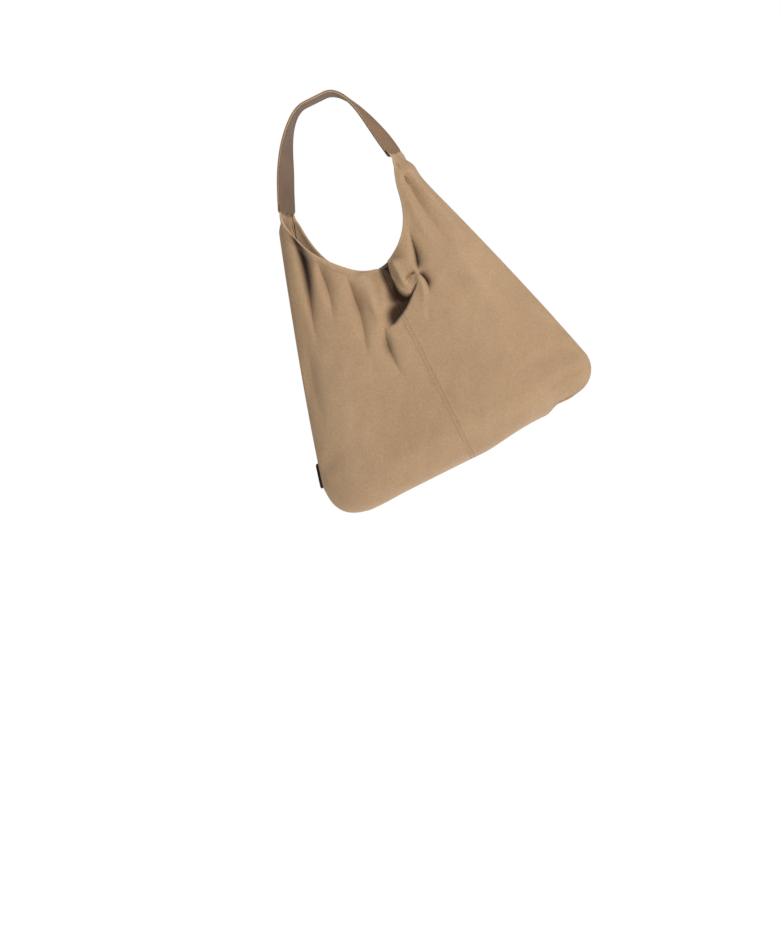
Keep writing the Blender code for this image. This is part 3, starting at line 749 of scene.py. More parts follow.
# %% Panel tool
SEAM_EDGE = 0.69 * MM  # the middle layer of a turned edge lies this far from the seam, so the edges meet
SAME_WIDTH = 160 * MM  # where the panel is this wide, the columns by the seam have the distances below
near_middle = np.array([0, 0.3, 0.65, 1.05, 1.5, 2.0, 2.5, 3.1, 3.9, 4.9, 6.1, 7.5, 9.1]) * MM
inner_columns = np.linspace(0.0705, 0.4, 46)[:-1]
outer_columns = np.sin(np.linspace(math.asin(0.4), math.pi / 2, 74))
even_rows = [np.linspace(0.008, ROUND_SHARE, 24)[:-1], np.linspace(ROUND_SHARE, 0.6, 60)[:-1]]
rows_v = np.concatenate([[0, 0.003], *even_rows, np.linspace(0.6, 1, 118)])
HEM_ROLL = 1.0 * MM  # radius of the rolled edge
HEM_ANGLES = (45, 90, 135, 180)
HEM_DEPTHS = (1.5 * MM, 3 * MM)  # the folded part goes this far down inside
HEM_ENDS = (0.86, 0.885)  # at these s the rolled edge runs out, where the necks begin
SEAM_TURN = (1.0 * MM, 2.4 * MM)  # how far a turned edge goes in


def panel_places(hand):
    """s and v of a panel's grid. The first columns keep their distance from the middle seam."""
    rest = np.concatenate([inner_columns, outer_columns])
    v = np.repeat(rows_v[:, None], len(near_middle) + len(rest), 1)
    z = mix(CORNER_Z, top_height(0.0), (rows_v - ROUND_SHARE) / (1 - ROUND_SHARE))
    round_width = mix(BASE_HALF, CORNER_HALF, np.sin(rows_v / ROUND_SHARE * math.pi / 2))
    width = np.where(rows_v < ROUND_SHARE, round_width, half_width(z))
    first = (SEAM_EDGE + near_middle[None] * (width / SAME_WIDTH)[:, None]) / width[:, None]
    return hand * np.concatenate([first, np.repeat(rest[None], len(rows_v), 0)], 1), v


def edge_frame(points, normals, toward_up):
    """For the last row of a grid, the direction that is square to the edge and lies in the sheet."""
    along = np.gradient(points, axis=0)
    out = np.cross(normals, along)
    out /= np.maximum(np.linalg.norm(out, axis=-1, keepdims=True), 1e-12)
    sign = np.sign((out * toward_up).sum(-1, keepdims=True))
    return out * np.where(sign == 0, 1, sign)


def beside(grid, extra, first):
    """Adds columns before or after a grid's own."""
    return np.concatenate([extra, grid] if first else [grid, extra], 1)


def seam_depth(edge):
    """Share of its full depth that a turned edge has. In the flat necks there is room for less of it."""
    height = edge[:, 2:] - UP
    thin = 0.6 * smooth(376 * MM, 390 * MM, height) + 0.35 * smooth(397 * MM, 406 * MM, height)
    return 1 - thin * (abs(edge[:, :1] - ACROSS) > 40 * MM)


def make_panel(name, hand, side, node):
    s, v = panel_places(hand)
    points, normals, ups = place_on(side, s, v)
    # The folds' painted shade goes into the mesh as an attribute, so that the suede darkens its creases.
    height, hollow = all_folds(*pattern_place(s, v, side), side)
    # Painted highlight: the ridges of folds are made a little paler, as if lit.
    wear_and_highlight = np.clip(0.04 * (height - 1.5), 0, 0.16)

    hems = []
    edge, normal = points[-1], normals[-1]
    square = edge_frame(edge, normal, ups[-1])
    rolled = 0.03 + 0.97 * (1 - smooth(*HEM_ENDS, np.abs(s[-1]))[:, None])
    for degrees in HEM_ANGLES:
        angle = math.radians(degrees)
        inwards = HEM_ROLL * (1 - math.cos(angle))
        hems.append(edge + (square * HEM_ROLL * math.sin(angle) - normal * inwards) * rolled)
    for deep in HEM_DEPTHS:
        hems.append(edge + (-square * deep - normal * 2 * HEM_ROLL) * rolled)
    points = np.concatenate([points, np.array(hems)])
    normals = np.concatenate([normals, np.repeat(normal[None], len(hems), 0)])
    hem_rub = np.concatenate([np.full((4, wear_and_highlight.shape[1]), 0.35), np.zeros((2, wear_and_highlight.shape[1]))])
    wear_and_highlight[-3:] = np.maximum(wear_and_highlight[-3:], np.array([0.08, 0.18, 0.3])[:, None])
    wear_and_highlight = np.concatenate([wear_and_highlight, hem_rub])

    for first in (True, False):
        end = 0 if first else -1
        share = seam_depth(points[:, end])
        turned = [points[:, end] - normals[:, end] * deep * share for deep in SEAM_TURN]
        points = beside(points, np.stack(turned[::-1] if first else turned, 1), first)
        normals = beside(normals, np.repeat(normals[:, end][:, None], 2, 1), first)
        wear_and_highlight = beside(wear_and_highlight, np.repeat(wear_and_highlight[:, end][:, None], 2, 1), first)
    under = np.stack([points[0] - normals[0] * deep for deep in SEAM_TURN[::-1]])
    points = np.concatenate([under, points])
    wear_and_highlight = np.concatenate([wear_and_highlight[:1], wear_and_highlight[:1], wear_and_highlight])
    padded = np.zeros_like(wear_and_highlight)
    padded[2 : 2 + hollow.shape[0], 2 : 2 + hollow.shape[1]] = hollow

    panel = lay_grid(points, wear_and_highlight, hollow=padded)
    flat_area = area_of(panel)
    thicken(panel, SUEDE)
    finish_mesh(panel, name, suede, replaces=[node], slot="suede")
    print(name, len(panel.data.polygons), "faces,", round(flat_area, 4), "m2 of suede")
    return panel, flat_area


# %% Panels
panels = {}
for side_word, side in (("front", FRONT), ("back", BACK)):
    for hand_word, hand in (("left", -1), ("right", 1)):
        node = f"{side_word}_panel_{hand_word}"
        panel, flat_area = make_panel(f"suede_{side_word}_{hand_word}", hand, side, node)
        panels[side, hand] = panel


# %% [markdown]
# ## The strap
# The strap is two straps of smooth leather glued back to back over a thin stiffener, with their raw edges
# painted pale and a line of stitches along each side. It lies over a shoulder, so it turns slantwise on its
# way down. Its ends are opened, and the necks are tucked between the layers and sewn.

# %% The strap's line
CROWN_LEFT, CROWN_RIGHT, CROWN_Z = 9 * MM, 37 * MM, 522 * MM  # the level stretch that lies on a shoulder
STRAP_HALF = 19 * MM
STRAP_FACE = 1.4 * MM  # thickness of its leather


def bezier(points, count):
    a, b, c, d = (np.array(p) for p in points)
    t = np.linspace(0, 1, count)[:, None]
    return a * (1 - t) ** 3 + 3 * b * t * (1 - t) ** 2 + 3 * c * t * t * (1 - t) + d * t**3


left_top = np.array((-NECK_LEFT, NECK_Z))
right_top = np.array((NECK_RIGHT, NECK_Z))
left_end = left_top + (STRAP_ENDS[-1] - NECK_Z) * np.array((LEFT_LEAN, 1))
right_end = right_top + (STRAP_ENDS[1] - NECK_Z) * np.array((RIGHT_LEAN, 1))
left_side = bezier((left_end, (-55 * MM, 456 * MM), (-24 * MM, CROWN_Z), (CROWN_LEFT, CROWN_Z)), 60)
right_side = bezier(((CROWN_RIGHT, CROWN_Z), (63 * MM, CROWN_Z), (76 * MM, 480 * MM), right_end), 60)
crown = np.linspace((CROWN_LEFT, CROWN_Z), (CROWN_RIGHT, CROWN_Z), 9)[1:-1]
strap_line = np.concatenate([left_side, crown, right_side])
strap_length = np.linalg.norm(np.diff(strap_line, axis=0), axis=1).sum()
print("strap length:", round(float(strap_length), 3), "m")


# %% A band along the strap's line
BAND_CORNER = 4.5 * MM  # radius of the corners at the strap's ends
BAND_ROWS, BAND_COLUMNS = 200, 15


def strap_frame(count, stop=0.0):
    """Evenly spaced points on the line, with the directions across the strap and out from the loop."""
    steps = np.linalg.norm(np.diff(strap_line, axis=0), axis=1)
    run = np.concatenate([[0], np.cumsum(steps)])
    at = np.linspace(stop, run[-1] - stop, count)
    x, z = np.interp(at, run, strap_line[:, 0]), np.interp(at, run, strap_line[:, 1])
    along = np.stack([np.gradient(x, at), np.gradient(z, at)], -1)
    along /= np.linalg.norm(along, axis=1, keepdims=True)
    middle = (CROWN_LEFT + CROWN_RIGHT) / 2
    away = np.hypot(x - middle, z - CROWN_Z)
    twist = np.sign(x - middle) * TWIST * smooth(15 * MM, 115 * MM, away)
    outward = np.stack([-along[:, 1], np.zeros(count), along[:, 0]], -1)
    sideways = np.array([0.0, 1.0, 0.0])
    cos, sin = np.cos(twist)[:, None], np.sin(twist)[:, None]
    across = sideways * cos + outward * sin
    out = outward * cos - sideways * sin
    centre = np.stack([x + ACROSS, np.zeros(count), z + UP], -1)
    return centre, across, out, at


def band(count, columns, offset, half, crowned, stop=0.0):
    """Grid of points of one layer. crowned lifts its middle, as filling does."""
    centre, across, out, at = strap_frame(count, stop)
    u = np.linspace(-1, 1, columns)
    end = np.minimum(at - at[0], at[-1] - at)[:, None]
    short = np.maximum(BAND_CORNER - end, 0)
    inset = BAND_CORNER - np.sqrt(np.maximum(BAND_CORNER**2 - short**2, 0))
    wander = 0.35 * MM * np.sin(at / 23e-3)[:, None] + 0.2 * MM * np.sin(at / 9e-3 + 1)[:, None]
    width = (half - inset) * u[None]
    lift = offset + crowned * (1 - u**4)[None]
    return centre[:, None] + across[:, None] * (width + wander)[..., None] + out[:, None] * lift[..., None]


def make_band(
    name, offset, crowned, material, node,
    half=STRAP_HALF, thickness=STRAP_FACE, stop=0.0, slot="strap_leather",
):
    """One layer of the strap. stop shortens it at both ends."""
    points = band(BAND_ROWS, BAND_COLUMNS, offset, half, crowned, stop)
    u = np.abs(np.linspace(-1, 1, BAND_COLUMNS))
    wear_and_highlight = np.broadcast_to(np.where(u > 0.98, 0.28, 0.0), points.shape[:2])
    piece = lay_grid(points, wear_and_highlight)
    thicken(piece, thickness, edge_slot=1, rounded=0.35 * MM)
    finish_mesh(piece, name, material, cut_edge, body="strap", replaces=[node], slot=slot)
    return piece


LAYER = 1.6 * MM  # from the strap's middle to the middle of each leather
strap_top = make_band("strap_outer_leather", LAYER, 0.5 * MM, strap_leather, "strap_outer")
strap_under = make_band("strap_inner_leather", -LAYER, -0.3 * MM, strap_inside, "strap_lining")
strap_middle = make_band(
    "strap_stiffener", 0, 0, cut_edge, "strap_core", STRAP_HALF - 0.5 * MM, 1.5 * MM, 8 * MM, "strap_board"
)
for piece in (strap_top, strap_under, strap_middle):
    print(piece.name, len(piece.data.polygons), "faces")

# %% [markdown]
# ## Stitches
# A stitch is a short length of waxed thread that dips into the leather at both ends. One is modelled and
# copied along each seam: a line of points is brought onto the finished piece, and each stitch lies on it.

# %% Stitch tools
bpy.ops.object.select_all(action="DESELECT")
bpy.ops.mesh.primitive_uv_sphere_add(segments=8, ring_count=5, radius=1)
bpy.ops.object.mode_set(mode="EDIT")
bpy.ops.transform.rotate(value=math.pi / 2, orient_axis="Y", center_override=(0, 0, 0))
bpy.ops.object.mode_set(mode="OBJECT")
stitch = bpy.context.object
stitch_points = np.array([v.co for v in stitch.data.vertices])
stitch_faces = [tuple(f.vertices) for f in stitch.data.polygons]
bpy.data.objects.remove(stitch)
STITCH, STITCH_GAP, THREAD = 2.8 * MM, 0.8 * MM, 0.5 * MM  # length, space between, width
SLANT = 0.1  # radians that each stitch lies off the seam's line
print("one stitch has", len(stitch_faces), "faces")


def surface_of(piece):
    corners = [vertex.co for vertex in piece.data.vertices]
    return BVHTree.FromPolygons(corners, [face.vertices for face in piece.data.polygons])


def even_places(line, gap):
    """Points a stitch apart along a line, and the line's direction there."""
    line = np.asarray(line)
    run = np.concatenate([[0], np.cumsum(np.linalg.norm(np.diff(line, axis=0), axis=1))])
    count = max(1, int(run[-1] // gap))
    at = (np.arange(count) + 0.5) * run[-1] / count
    here = np.stack([np.interp(at, run, line[:, k]) for k in range(3)], -1)
    ahead = np.stack([np.interp(at + 0.4 * gap, run, line[:, k]) for k in range(3)], -1)
    behind = np.stack([np.interp(at - 0.4 * gap, run, line[:, k]) for k in range(3)], -1)
    return here, ahead - behind


def sew(name, lines, piece, thread, facing=None, length=STITCH, width=THREAD):
    """One piece made of all the stitches along some lines, laid on a finished piece."""
    tree = surface_of(piece)
    points, faces = [], []
    for line in lines:
        for here, along in zip(*even_places(line, length + STITCH_GAP)):
            start = Vector(here) + (Vector(facing(here)) * 3 * MM if facing else Vector())
            spot, normal, _, _ = tree.find_nearest(start)
            x = Vector(along) - normal * Vector(along).dot(normal)
            x.normalize()
            y = normal.cross(x)
            x, y = x * math.cos(SLANT) + y * math.sin(SLANT), y * math.cos(SLANT) - x * math.sin(SLANT)
            turn = np.array([x, y, normal]).T
            size = np.array([length / 2, width / 2, width * 0.3])
            first = len(points) * len(stitch_points)
            points.append((stitch_points * size) @ turn.T + np.array(spot) + np.array(normal) * width * 0.08)
            faces += [tuple(first + i for i in face) for face in stitch_faces]
    mesh = bpy.data.meshes.new(name)
    mesh.from_pydata(np.concatenate(points).tolist(), [], faces)
    sewn = bpy.data.objects.new(name, mesh)
    bpy.context.scene.collection.objects.link(sewn)
    finish_mesh(sewn, name, thread, slot="suede")
    print(name, len(points), "stitches")
    return sewn


def bend_at_necks(piece):
    """Puts the piece's place into its mesh."""
    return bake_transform(piece)


# %% Sew the strap
STRAP_ROW = 2.9 * MM  # from the strap's edge to its row of stitches
ABOVE = LAYER + 1.5 * MM
for word, piece, offset, thread in (
    ("outer", strap_top, ABOVE, strap_thread),
    ("inner", strap_under, -ABOVE, brown_thread),
):
    grid = band(240, BAND_COLUMNS, offset, STRAP_HALF, 0)
    centre = grid[:, BAND_COLUMNS // 2]
    lines = [centre + (grid[:, end] - centre) * (1 - STRAP_ROW / STRAP_HALF) for end in (0, -1)]
    lines = [line[3:-3] for line in lines]
    lines += [centre[row] + (grid[row] - centre[row]) * 0.82 for row in (3, -4)]
    sewn = sew(f"strap_stitches_{word}", lines, piece, thread)
    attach(sewn, "strap")

# %% [markdown]
# ## Seams of the body
# Two rows of dark thread run down the middle seam, one on each side of it, and hold its turned edges flat.
# One row runs round the mouth, through the hem.

# %% Sew the body
HEM_ROW = 6.8 * MM  # from the mouth's edge to its row of stitches
ROW_FROM, ROW_TO = 12, -14  # the points of the mouth's line between which the row runs
for side, word in ((FRONT, "front"), (BACK, "back")):
    for hand, hand_word in ((-1, "left"), (1, "right")):
        v = np.linspace(0.004, 1, 400)
        z = shell(0.0, v, side, 0)[..., 2] - UP
        round_width = mix(BASE_HALF, CORNER_HALF, v / ROUND_SHARE)
        s = hand * MIDDLE_ROW / np.where(v < ROUND_SHARE, round_width, half_width(z))
        line, _, _ = place_on(side, s, v, SUEDE / 2)
        sewn = sew(f"middle_stitches_{word}_{hand_word}", [line[:-6]], panels[side, hand], brown_thread)
        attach(sewn, "bag_body")
        x, z = (values[ROW_FROM:ROW_TO] for values in mouth_line(HEM_ROW))
        a = x / half_width(z)
        row, _, _ = place_on(side, hand * a, height_share(a, z), SUEDE / 2 + 0.3 * MM)
        sewn = sew(f"mouth_stitches_{word}_{hand_word}", [row], panels[side, hand], tan_thread)
        bend_at_necks(sewn)
for one in panels.values():
    bend_at_necks(one)

# %% [markdown]
# ## Inside: facings and lining
# A facing of smooth leather backs the mouth's edge and carries the snap, and a loose bag of cotton hangs
# below it. The lining is cut a little larger than it needs to be, so that it never takes the weight, and its
# slack shows as upright folds.

# %% Facings
FACING = 1.2 * MM
FACING_WIDTH = 35 * MM
FACING_TOP = 402 * MM
FACING_IN = 3.45 * MM  # from the suede's middle layer to the facing's
FACING_IN_NECK = 1.5 * MM
for side, word in ((FRONT, "front"), (BACK, "back")):
    s, d = np.meshgrid(np.linspace(-0.87, 0.87, 230), np.linspace(FACING_WIDTH, 1.0 * MM, 40))
    edge_height = np.minimum(top_height(np.abs(s)), FACING_TOP)
    v = height_share(np.abs(s), edge_height - d)
    x, z = pattern_place(s, v, side)
    inward = mix(FACING_IN, FACING_IN_NECK, smooth(380, 398, z)) + 2 * MM * all_folds(x, z, side)[1]
    points = skins[side](s, v, inward)
    facing = lay_grid(points)
    thicken(facing, FACING)
    finish_mesh(
        facing, f"mouth_facing_{word}", facing_leather, replaces=[f"{word}_facing"], slot="facing_leather"
    )
    bend_at_necks(facing)


# %% Lining
LINING_IN = 7 * MM  # the lining is this much smaller than the shell all round
LINING_TOP = 321 * MM
LINING_UNDER = 8 * MM  # its top edge lies this far under the facing
CLOTH = 0.8 * MM


def lining_surface(side, loose=1.0):
    """The lining as a function of (s, v): flatter than the suede, with upright slack folds."""

    def surface(s, v):
        s, v = np.broadcast_arrays(np.asarray(s, float), np.asarray(v, float))
        a = np.abs(s)
        low = v < ROUND_SHARE
        angle = np.clip(v / ROUND_SHARE, 0, 1) * math.pi / 2
        top = np.minimum(top_height(a) - FACING_WIDTH + LINING_UNDER, LINING_TOP)
        z = np.where(
            low,
            CORNER_Z - (CORNER_Z - LINING_IN) * np.cos(angle),
            mix(CORNER_Z, top, (v - ROUND_SHARE) / (1 - ROUND_SHARE)),
        )
        wide = np.where(low, mix(BASE_HALF, CORNER_HALF, np.sin(angle)), half_width(z)) - LINING_IN
        deep = np.where(low, (BELLY_DEPTH - LINING_IN) * np.sin(angle), half_depth(z) - LINING_IN)
        x = s * wide
        bulge = np.sqrt(np.clip(1 - a**4, 0, 1))
        folds = 1.6 * np.sin(x / 9e-3 + 1.4 * np.sin(z / 60e-3 + side)) * smooth(70 * MM, 200 * MM, z)
        folds = folds + 1.2 * np.sin(x / 21e-3 + z / 35e-3 + side) + 0.7 * np.sin(x / 5e-3 - z / 30e-3)
        slack_out = loose * (1.5 + folds) * MM * smooth(0, 0.08, 1 - a) * smooth(0, 0.05, v)
        slack_out = slack_out * (1 - smooth(0.93, 1, v))
        outer = skins[side](s, np.where(low, v, height_share(a, z)))
        room = np.abs(outer[..., 1]) - mix(0.5, 5.5, np.sin(angle)) * MM
        out = 0.78 * deep * bulge + CLOTH / 2 + HALF_GAP - snap_pinch(x, z)
        out = out + np.maximum(slack_out, -0.6 * MM)
        y = side * np.minimum(out, np.maximum(room, 0.55 * MM))
        return np.stack([x + ACROSS, y, z + corner_lift(x, z) + UP], -1)

    return surface


for side, word in ((FRONT, "front"), (BACK, "back")):
    s, v = np.meshgrid(np.sin(np.linspace(-math.pi / 2, math.pi / 2, 150)), np.linspace(0, 1, 110))
    lining = lay_grid(lining_surface(side)(s, v))
    thicken(lining, CLOTH)
    name, node = f"cotton_lining_{word}", f"{word}_lining"
    finish_mesh(lining, name, lining_cloth, body="bag_body", replaces=[node], slot="lining_cloth")

# %% Slip pocket
POCKET_SIDE, POCKET_LOW, POCKET_TOP = 0.46, 0.3, 0.8  # its sides in s, its lower and upper edge in v
s, v = np.meshgrid(np.linspace(-POCKET_SIDE, POCKET_SIDE, 60), np.linspace(POCKET_LOW, POCKET_TOP, 50))
points, normals, _ = directions(lining_surface(FRONT, 0.4), s, v)
inward = -normals
up_pocket = (v - POCKET_LOW) / (POCKET_TOP - POCKET_LOW)
gape = 3.0 * MM * (smooth(0.5, 1, up_pocket) * (1 - (s / POCKET_SIDE) ** 2))
points = points + inward * (1.4 * MM + gape)[..., None] + np.array([0, 1.8 * MM, 0])
pocket = lay_grid(points)
thicken(pocket, CLOTH)
finish_mesh(
    pocket, "cotton_slip_pocket", lining_cloth, body="bag_body", replaces=["slip_pocket"], slot="lining_cloth"
)
into_bag = np.array([0, CLOTH, 0])
rows = [points[:, 2], points[2], points[:, -3], points[-4], points[-6]]
sewn = sew("slip_pocket_stitches", [row + into_bag for row in rows], pocket, cotton_thread, length=2.4 * MM)
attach(sewn, "bag_body")

# %% [markdown]
# ## The zip pocket
# A flat cloth pocket is sewn to the back lining. Its window is cut, its edge is folded under, and the zip's
# two tapes lie behind it. The zip runs level, and the direction in which the solid pocket is thinnest points
# into the bag.

# %% Directions of the zip
solid = nodes["zip_pocket_front"]
corners = np.array([solid.matrix_world @ vertex.co for vertex in solid.data.vertices])
seat = (corners.min(0) + corners.max(0)) / 2
_, _, axes = np.linalg.svd(corners - corners.mean(0))
zip_along = np.array([1.0, 0.0, 0.0])
zip_in = axes[2] * -np.sign(axes[2][1])
zip_up = np.cross(zip_in, zip_along)
span = (corners - seat) @ np.stack([zip_along, zip_up, zip_in]).T
pocket_low, pocket_high = span.min(0), span.max(0)


def in_zip(name):
    """Box of a solid part in the zip's own directions, about the middle of the pocket."""
    part = nodes[name]
    places = np.array([part.matrix_world @ vertex.co for vertex in part.data.vertices]) - seat
    places = places @ np.stack([zip_along, zip_up, zip_in]).T
    return places.min(0), places.max(0)


def from_zip(along, up, into):
    along, up, into = np.broadcast_arrays(along, up, into)
    return seat + along[..., None] * zip_along + up[..., None] * zip_up + into[..., None] * zip_in


lower, upper = in_zip("zip_teeth_lower"), in_zip("zip_teeth_upper")
zip_line = (lower[1][1] + upper[0][1]) / 2
print("pocket:", (pocket_high - pocket_low).round(4), "zip line:", round(float(zip_line), 4))


# %% Cloth front of the zip pocket
def rounded_box(low, high, corner, count):
    """count points round a box with rounded corners, starting at the middle of its right side."""
    turn = np.linspace(0, 2 * math.pi, count)
    power = 2 / (2 + 8 * (1 - corner))
    x, y = (np.sign(f(turn)) * np.abs(f(turn)) ** power for f in (np.cos, np.sin))
    middle, half = (np.array(low) + high) / 2, (np.array(high) - low) / 2
    return middle + np.stack([x, y], -1) * half


AROUND = 181
WINDOW = np.array((77.5 * MM, 5.8 * MM))  # half the window's length and height
on_line = np.array((0, zip_line))
window = rounded_box(on_line - WINDOW, on_line + WINDOW, 0.2, AROUND)
rim = rounded_box(pocket_low[:2], pocket_high[:2], 0.1, AROUND)
shares = np.concatenate([[0.0, 0.0, 0.0], np.linspace(0.012, 1, 26)])
depths = np.concatenate([[-0.9 * MM, -0.35 * MM, 0.25 * MM], np.full(26, 0.3 * MM)])
rings = window[None] * (1 - shares[:, None, None]) + rim[None] * shares[:, None, None]
rings[0] = window * np.array([1.02, 1]) + (window[:, 1:] - zip_line) * np.array([0, 0.25])
puffed = 1.6 * MM * np.sin(np.clip(shares, 0, 1) * math.pi)[:, None] ** 2
wrinkles = np.sin(rings[..., 0] / 11e-3 + 0.8) * np.sin(rings[..., 1] / 16e-3)
wrinkles = wrinkles + 0.5 * np.sin(rings[..., 0] / 5e-3)
into = depths[:, None] + puffed * (0.55 + 0.45 * wrinkles)
front = lay_grid(from_zip(rings[..., 0], rings[..., 1], into))
bpy.ops.object.select_all(action="DESELECT")
front.select_set(True)
bpy.ops.object.mode_set(mode="EDIT")
bpy.ops.mesh.select_all(action="SELECT")
bpy.ops.mesh.remove_doubles(threshold=1e-6)
bpy.ops.object.mode_set(mode="OBJECT")
thicken(front, 0.7 * MM)
finish_mesh(
    front, "cotton_zip_pocket", lining_cloth,
    body="bag_body", replaces=["zip_pocket_front"], slot="lining_cloth",
)
lines = [from_zip(*(rings[k].T), into[k] + 0.6 * MM) for k in (4, -2)]
sewn = sew("zip_pocket_stitches", lines, front, cotton_thread, length=2.4 * MM)
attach(sewn, "bag_body")

# %% Zip tapes and teeth
bpy.ops.object.select_all(action="DESELECT")
bpy.ops.mesh.primitive_cube_add(size=1)
tooth = bpy.context.object
bpy.ops.object.mode_set(mode="EDIT")
bpy.ops.mesh.select_all(action="SELECT")
bpy.ops.mesh.bevel(offset=0.2, segments=1)
bpy.ops.object.mode_set(mode="OBJECT")
tooth_points = np.array([v.co for v in tooth.data.vertices])
tooth_faces = [tuple(f.vertices) for f in tooth.data.polygons]
bpy.data.objects.remove(tooth)
TOOTH_PITCH = 2.5 * MM
TOOTH_WIDE = 1.35 * MM
for word, other in (("lower", 1), ("upper", -1)):
    low, high = in_zip(f"zip_tape_{word}")
    across, up = np.meshgrid(np.linspace(low[0], high[0], 80), np.linspace(low[1], high[1], 8))
    weave_lift = 0.12 * MM * np.sin(across / 2.1e-3) * np.sin((up - low[1]) / (high[1] - low[1]) * math.pi)
    tape = lay_grid(from_zip(across, up, (low[2] + high[2]) / 2 + weave_lift))
    thicken(tape, 0.5 * MM)
    name, node = f"zip_cloth_{word}", f"zip_tape_{word}"
    finish_mesh(tape, name, zip_tape_cloth, body="bag_body", replaces=[node], slot="zip_tape")

    low, high = in_zip(f"zip_teeth_{word}")
    count = int((high[0] - low[0]) / TOOTH_PITCH)
    size_of_tooth = np.array([TOOTH_WIDE, high[1] - low[1], high[2] - low[2]])
    places, faces = [], []
    for k in range(count):
        along = low[0] + (k + (0.3 if other > 0 else 0.7)) * (high[0] - low[0]) / count
        middle = np.array([along, (low[1] + high[1]) / 2, (low[2] + high[2]) / 2])
        shape = tooth_points * size_of_tooth
        toward_zip = np.clip(shape[:, 1:2] * other / size_of_tooth[1] + 0.5, 0, 1)
        narrowing = [1 - 0.35 * toward_zip, np.ones_like(toward_zip), 1 - 0.3 * toward_zip]
        shape = shape * np.concatenate(narrowing, 1)
        faces += [tuple(k * len(tooth_points) + i for i in face) for face in tooth_faces]
        places.append(from_zip(*(shape + middle).T))
    mesh = bpy.data.meshes.new("teeth")
    mesh.from_pydata(np.concatenate(places).tolist(), [], faces)
    teeth = bpy.data.objects.new("teeth", mesh)
    bpy.context.scene.collection.objects.link(teeth)
    face_outwards(teeth)
    name, node = f"brass_teeth_{word}", f"zip_teeth_{word}"
    finish_mesh(teeth, name, zip_brass, body="bag_body", replaces=[node], slot="zip_metal", angle=30)
    print(teeth.name, count, "teeth")

# %% [markdown]
# ## The leather patch
# A small blank patch of dark leather is sewn to the back by the left side seam. Its free edge stands a few
# millimetres past the seam, so a thin dark line shows from the front too.

# %% Leather patch
PATCH_LOW, PATCH_HIGH, PATCH_OUT = 53 * MM, 86 * MM, 5.6 * MM
SEWN_SHARE = 0.75  # share of the patch that lies on the bag
u, w = np.meshgrid(np.linspace(0, 1, 40), np.linspace(0, 1, 34))
on_bag = np.minimum(u / SEWN_SHARE, 1)
s = -mix(0.90, 0.985, on_bag)
round_off = 2.2 * MM * np.maximum(0, np.abs(2 * u - 1) - 0.86) ** 2 / 0.14**2
z = mix(PATCH_LOW + round_off, PATCH_HIGH - round_off, w)
points, normals, _ = place_on(BACK, s, height_share(np.abs(s), z))
past = np.maximum(u - SEWN_SHARE, 0)[..., None] / (1 - SEWN_SHARE) * PATCH_OUT * np.array([-0.95, -0.31, 0])
points = points + normals * 1.75 * MM + past
points[..., 0] = np.maximum(points[..., 0], ACROSS - 205 * MM)
patch = lay_grid(points)
thicken(patch, 1.4 * MM, rounded=0.3 * MM)
finish_mesh(
    patch, "dark_leather_patch", patch_leather,
    body="bag_body", replaces=["leather_patch"], slot="patch_leather",
)
rows = [points[3], points[:, 3], points[-4], points[:, 24]]
sewn = sew("patch_stitches", [row + normals[10, 10] * MM for row in rows], patch, tan_thread, length=2.2 * MM)
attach(sewn, "bag_body")

# %% [markdown]
# ## Brass parts
# The snap, the zip's stops, its slider and its pull are already right in the frame. They are turned and
# stamped parts with no slack in them, so they only get their finish.

# %% Brass for the solid parts
snap_parts = ("snap_socket", "snap_stud", "snap_washer_socket", "snap_washer_stud")
zip_parts = ("zip_stop_left", "zip_stop_right", "zip_slider", "zip_pull")
for parts, finish in ((snap_parts, snap_brass), (zip_parts, zip_brass)):
    for name in parts:
        nodes[name].data.materials.clear()
        nodes[name].data.materials.append(finish)
    print(finish.name, "on", ", ".join(parts))

# %% [markdown]
# ## Light, floor and camera
# The bag is seen as it hangs on a shoulder, tilted to one side, so the camera is rolled and the bag stays
# upright in its frame. A long lens from a few steps away keeps the sides nearly parallel. One soft lamp from
# the upper right draws the folds, and a weak one from the left keeps their shaded sides open.

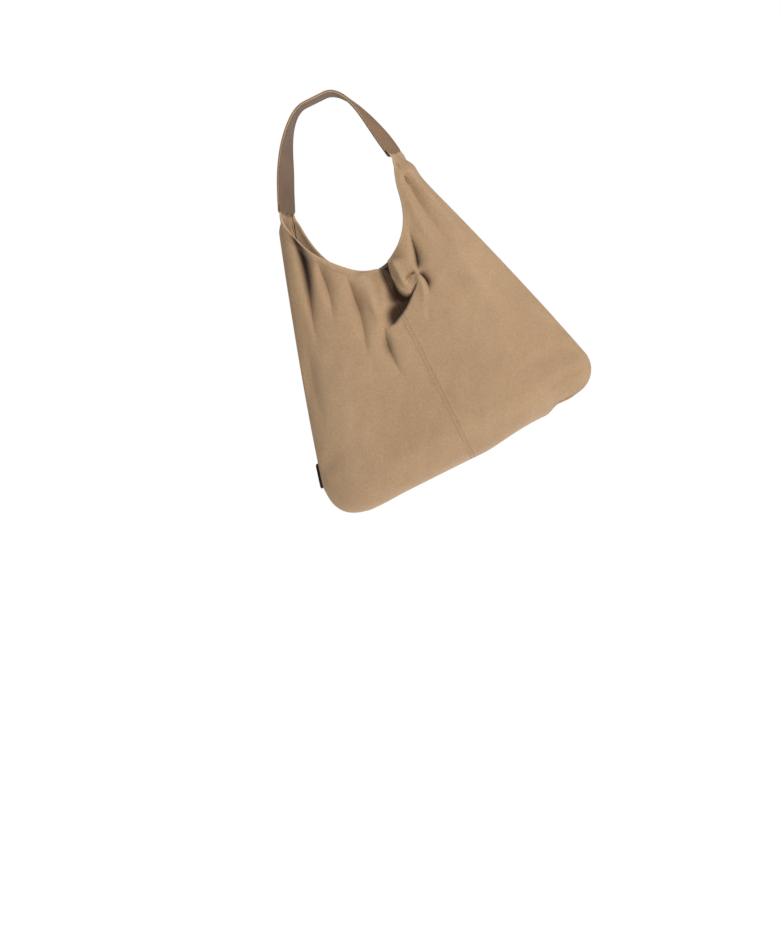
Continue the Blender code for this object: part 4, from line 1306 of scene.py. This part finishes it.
# %% Camera
ROLL = math.radians(26.5)
LENS_DISTANCE = 2.4
VIEW_HEIGHT = 1.2606  # what is seen from top to bottom, at the bag's distance
SENSOR = 36  # mm
camera_up = Vector((math.sin(ROLL), 0, math.cos(ROLL)))
aim = Vector((ACROSS - 106.1 * MM, 0, UP + 37.8 * MM))
lift = math.radians(3)
away = Vector((0, -math.cos(lift), 0)) + camera_up * math.sin(lift)
camera_data = bpy.data.cameras.new("camera")
camera_data.lens = SENSOR * LENS_DISTANCE / VIEW_HEIGHT
print("lens:", round(camera_data.lens, 1), "mm")
camera = bpy.data.objects.new("camera", camera_data)
bpy.context.scene.collection.objects.link(camera)
back_axis = away.normalized()
right_axis = camera_up.cross(back_axis).normalized()
up_axis = back_axis.cross(right_axis)
rotation = Matrix((right_axis, up_axis, back_axis)).transposed().to_4x4()
camera.matrix_world = Matrix.Translation(aim + back_axis * LENS_DISTANCE) @ rotation
bpy.context.scene.camera = camera

# %% World, floor and lamps
AMBIENT = 0.25  # the world lights the bag this strongly, but is seen as plain white
FLOOR_Z = -1.25
world = bpy.data.worlds.new("studio")
bpy.context.scene.world = world
world.use_nodes = True
background = world.node_tree.nodes["Background"]
background.inputs["Color"].default_value = (1, 1, 1, 1)
seen = world.node_tree.nodes.new("ShaderNodeLightPath").outputs["Is Camera Ray"]
strength = world.node_tree.nodes.new("ShaderNodeMapRange")
strength.inputs["To Min"].default_value = AMBIENT
strength.inputs["To Max"].default_value = 1.0
world.node_tree.links.new(seen, strength.inputs["Value"])
world.node_tree.links.new(strength.outputs["Result"], background.inputs["Strength"])
bpy.context.scene.view_settings.view_transform = "Standard"


def add_lamp(name, place, power, size):
    lamp = bpy.data.lights.new(name, "AREA")
    lamp.energy = power
    lamp.shape = "DISK"
    lamp.size = size
    holder = bpy.data.objects.new(name, lamp)
    bpy.context.scene.collection.objects.link(holder)
    holder.location = place
    towards = Vector((0, 0, -0.25)) - holder.location
    holder.rotation_euler = towards.to_track_quat("-Z", "Y").to_euler()


add_lamp("key", Vector((1.6, -1.65, 0.8)), power=40, size=0.6)
add_lamp("fill", Vector((-1.6, -1.7, 0.2)), power=6, size=1.6)

bpy.ops.mesh.primitive_circle_add(vertices=96, radius=6, fill_type="NGON", location=(0, 0, FLOOR_Z))
floor = bpy.context.object
floor.name = "floor"
paper, paper_shader = new_material("floor_paper", 0.9, specular=0.1)
paper_shader.inputs["Base Color"].default_value = (0.85, 0.85, 0.85, 1)
paper_shader.inputs["Emission Color"].default_value = (1, 1, 1, 1)
paper_shader.inputs["Emission Strength"].default_value = 0.85
floor.data.materials.append(paper)
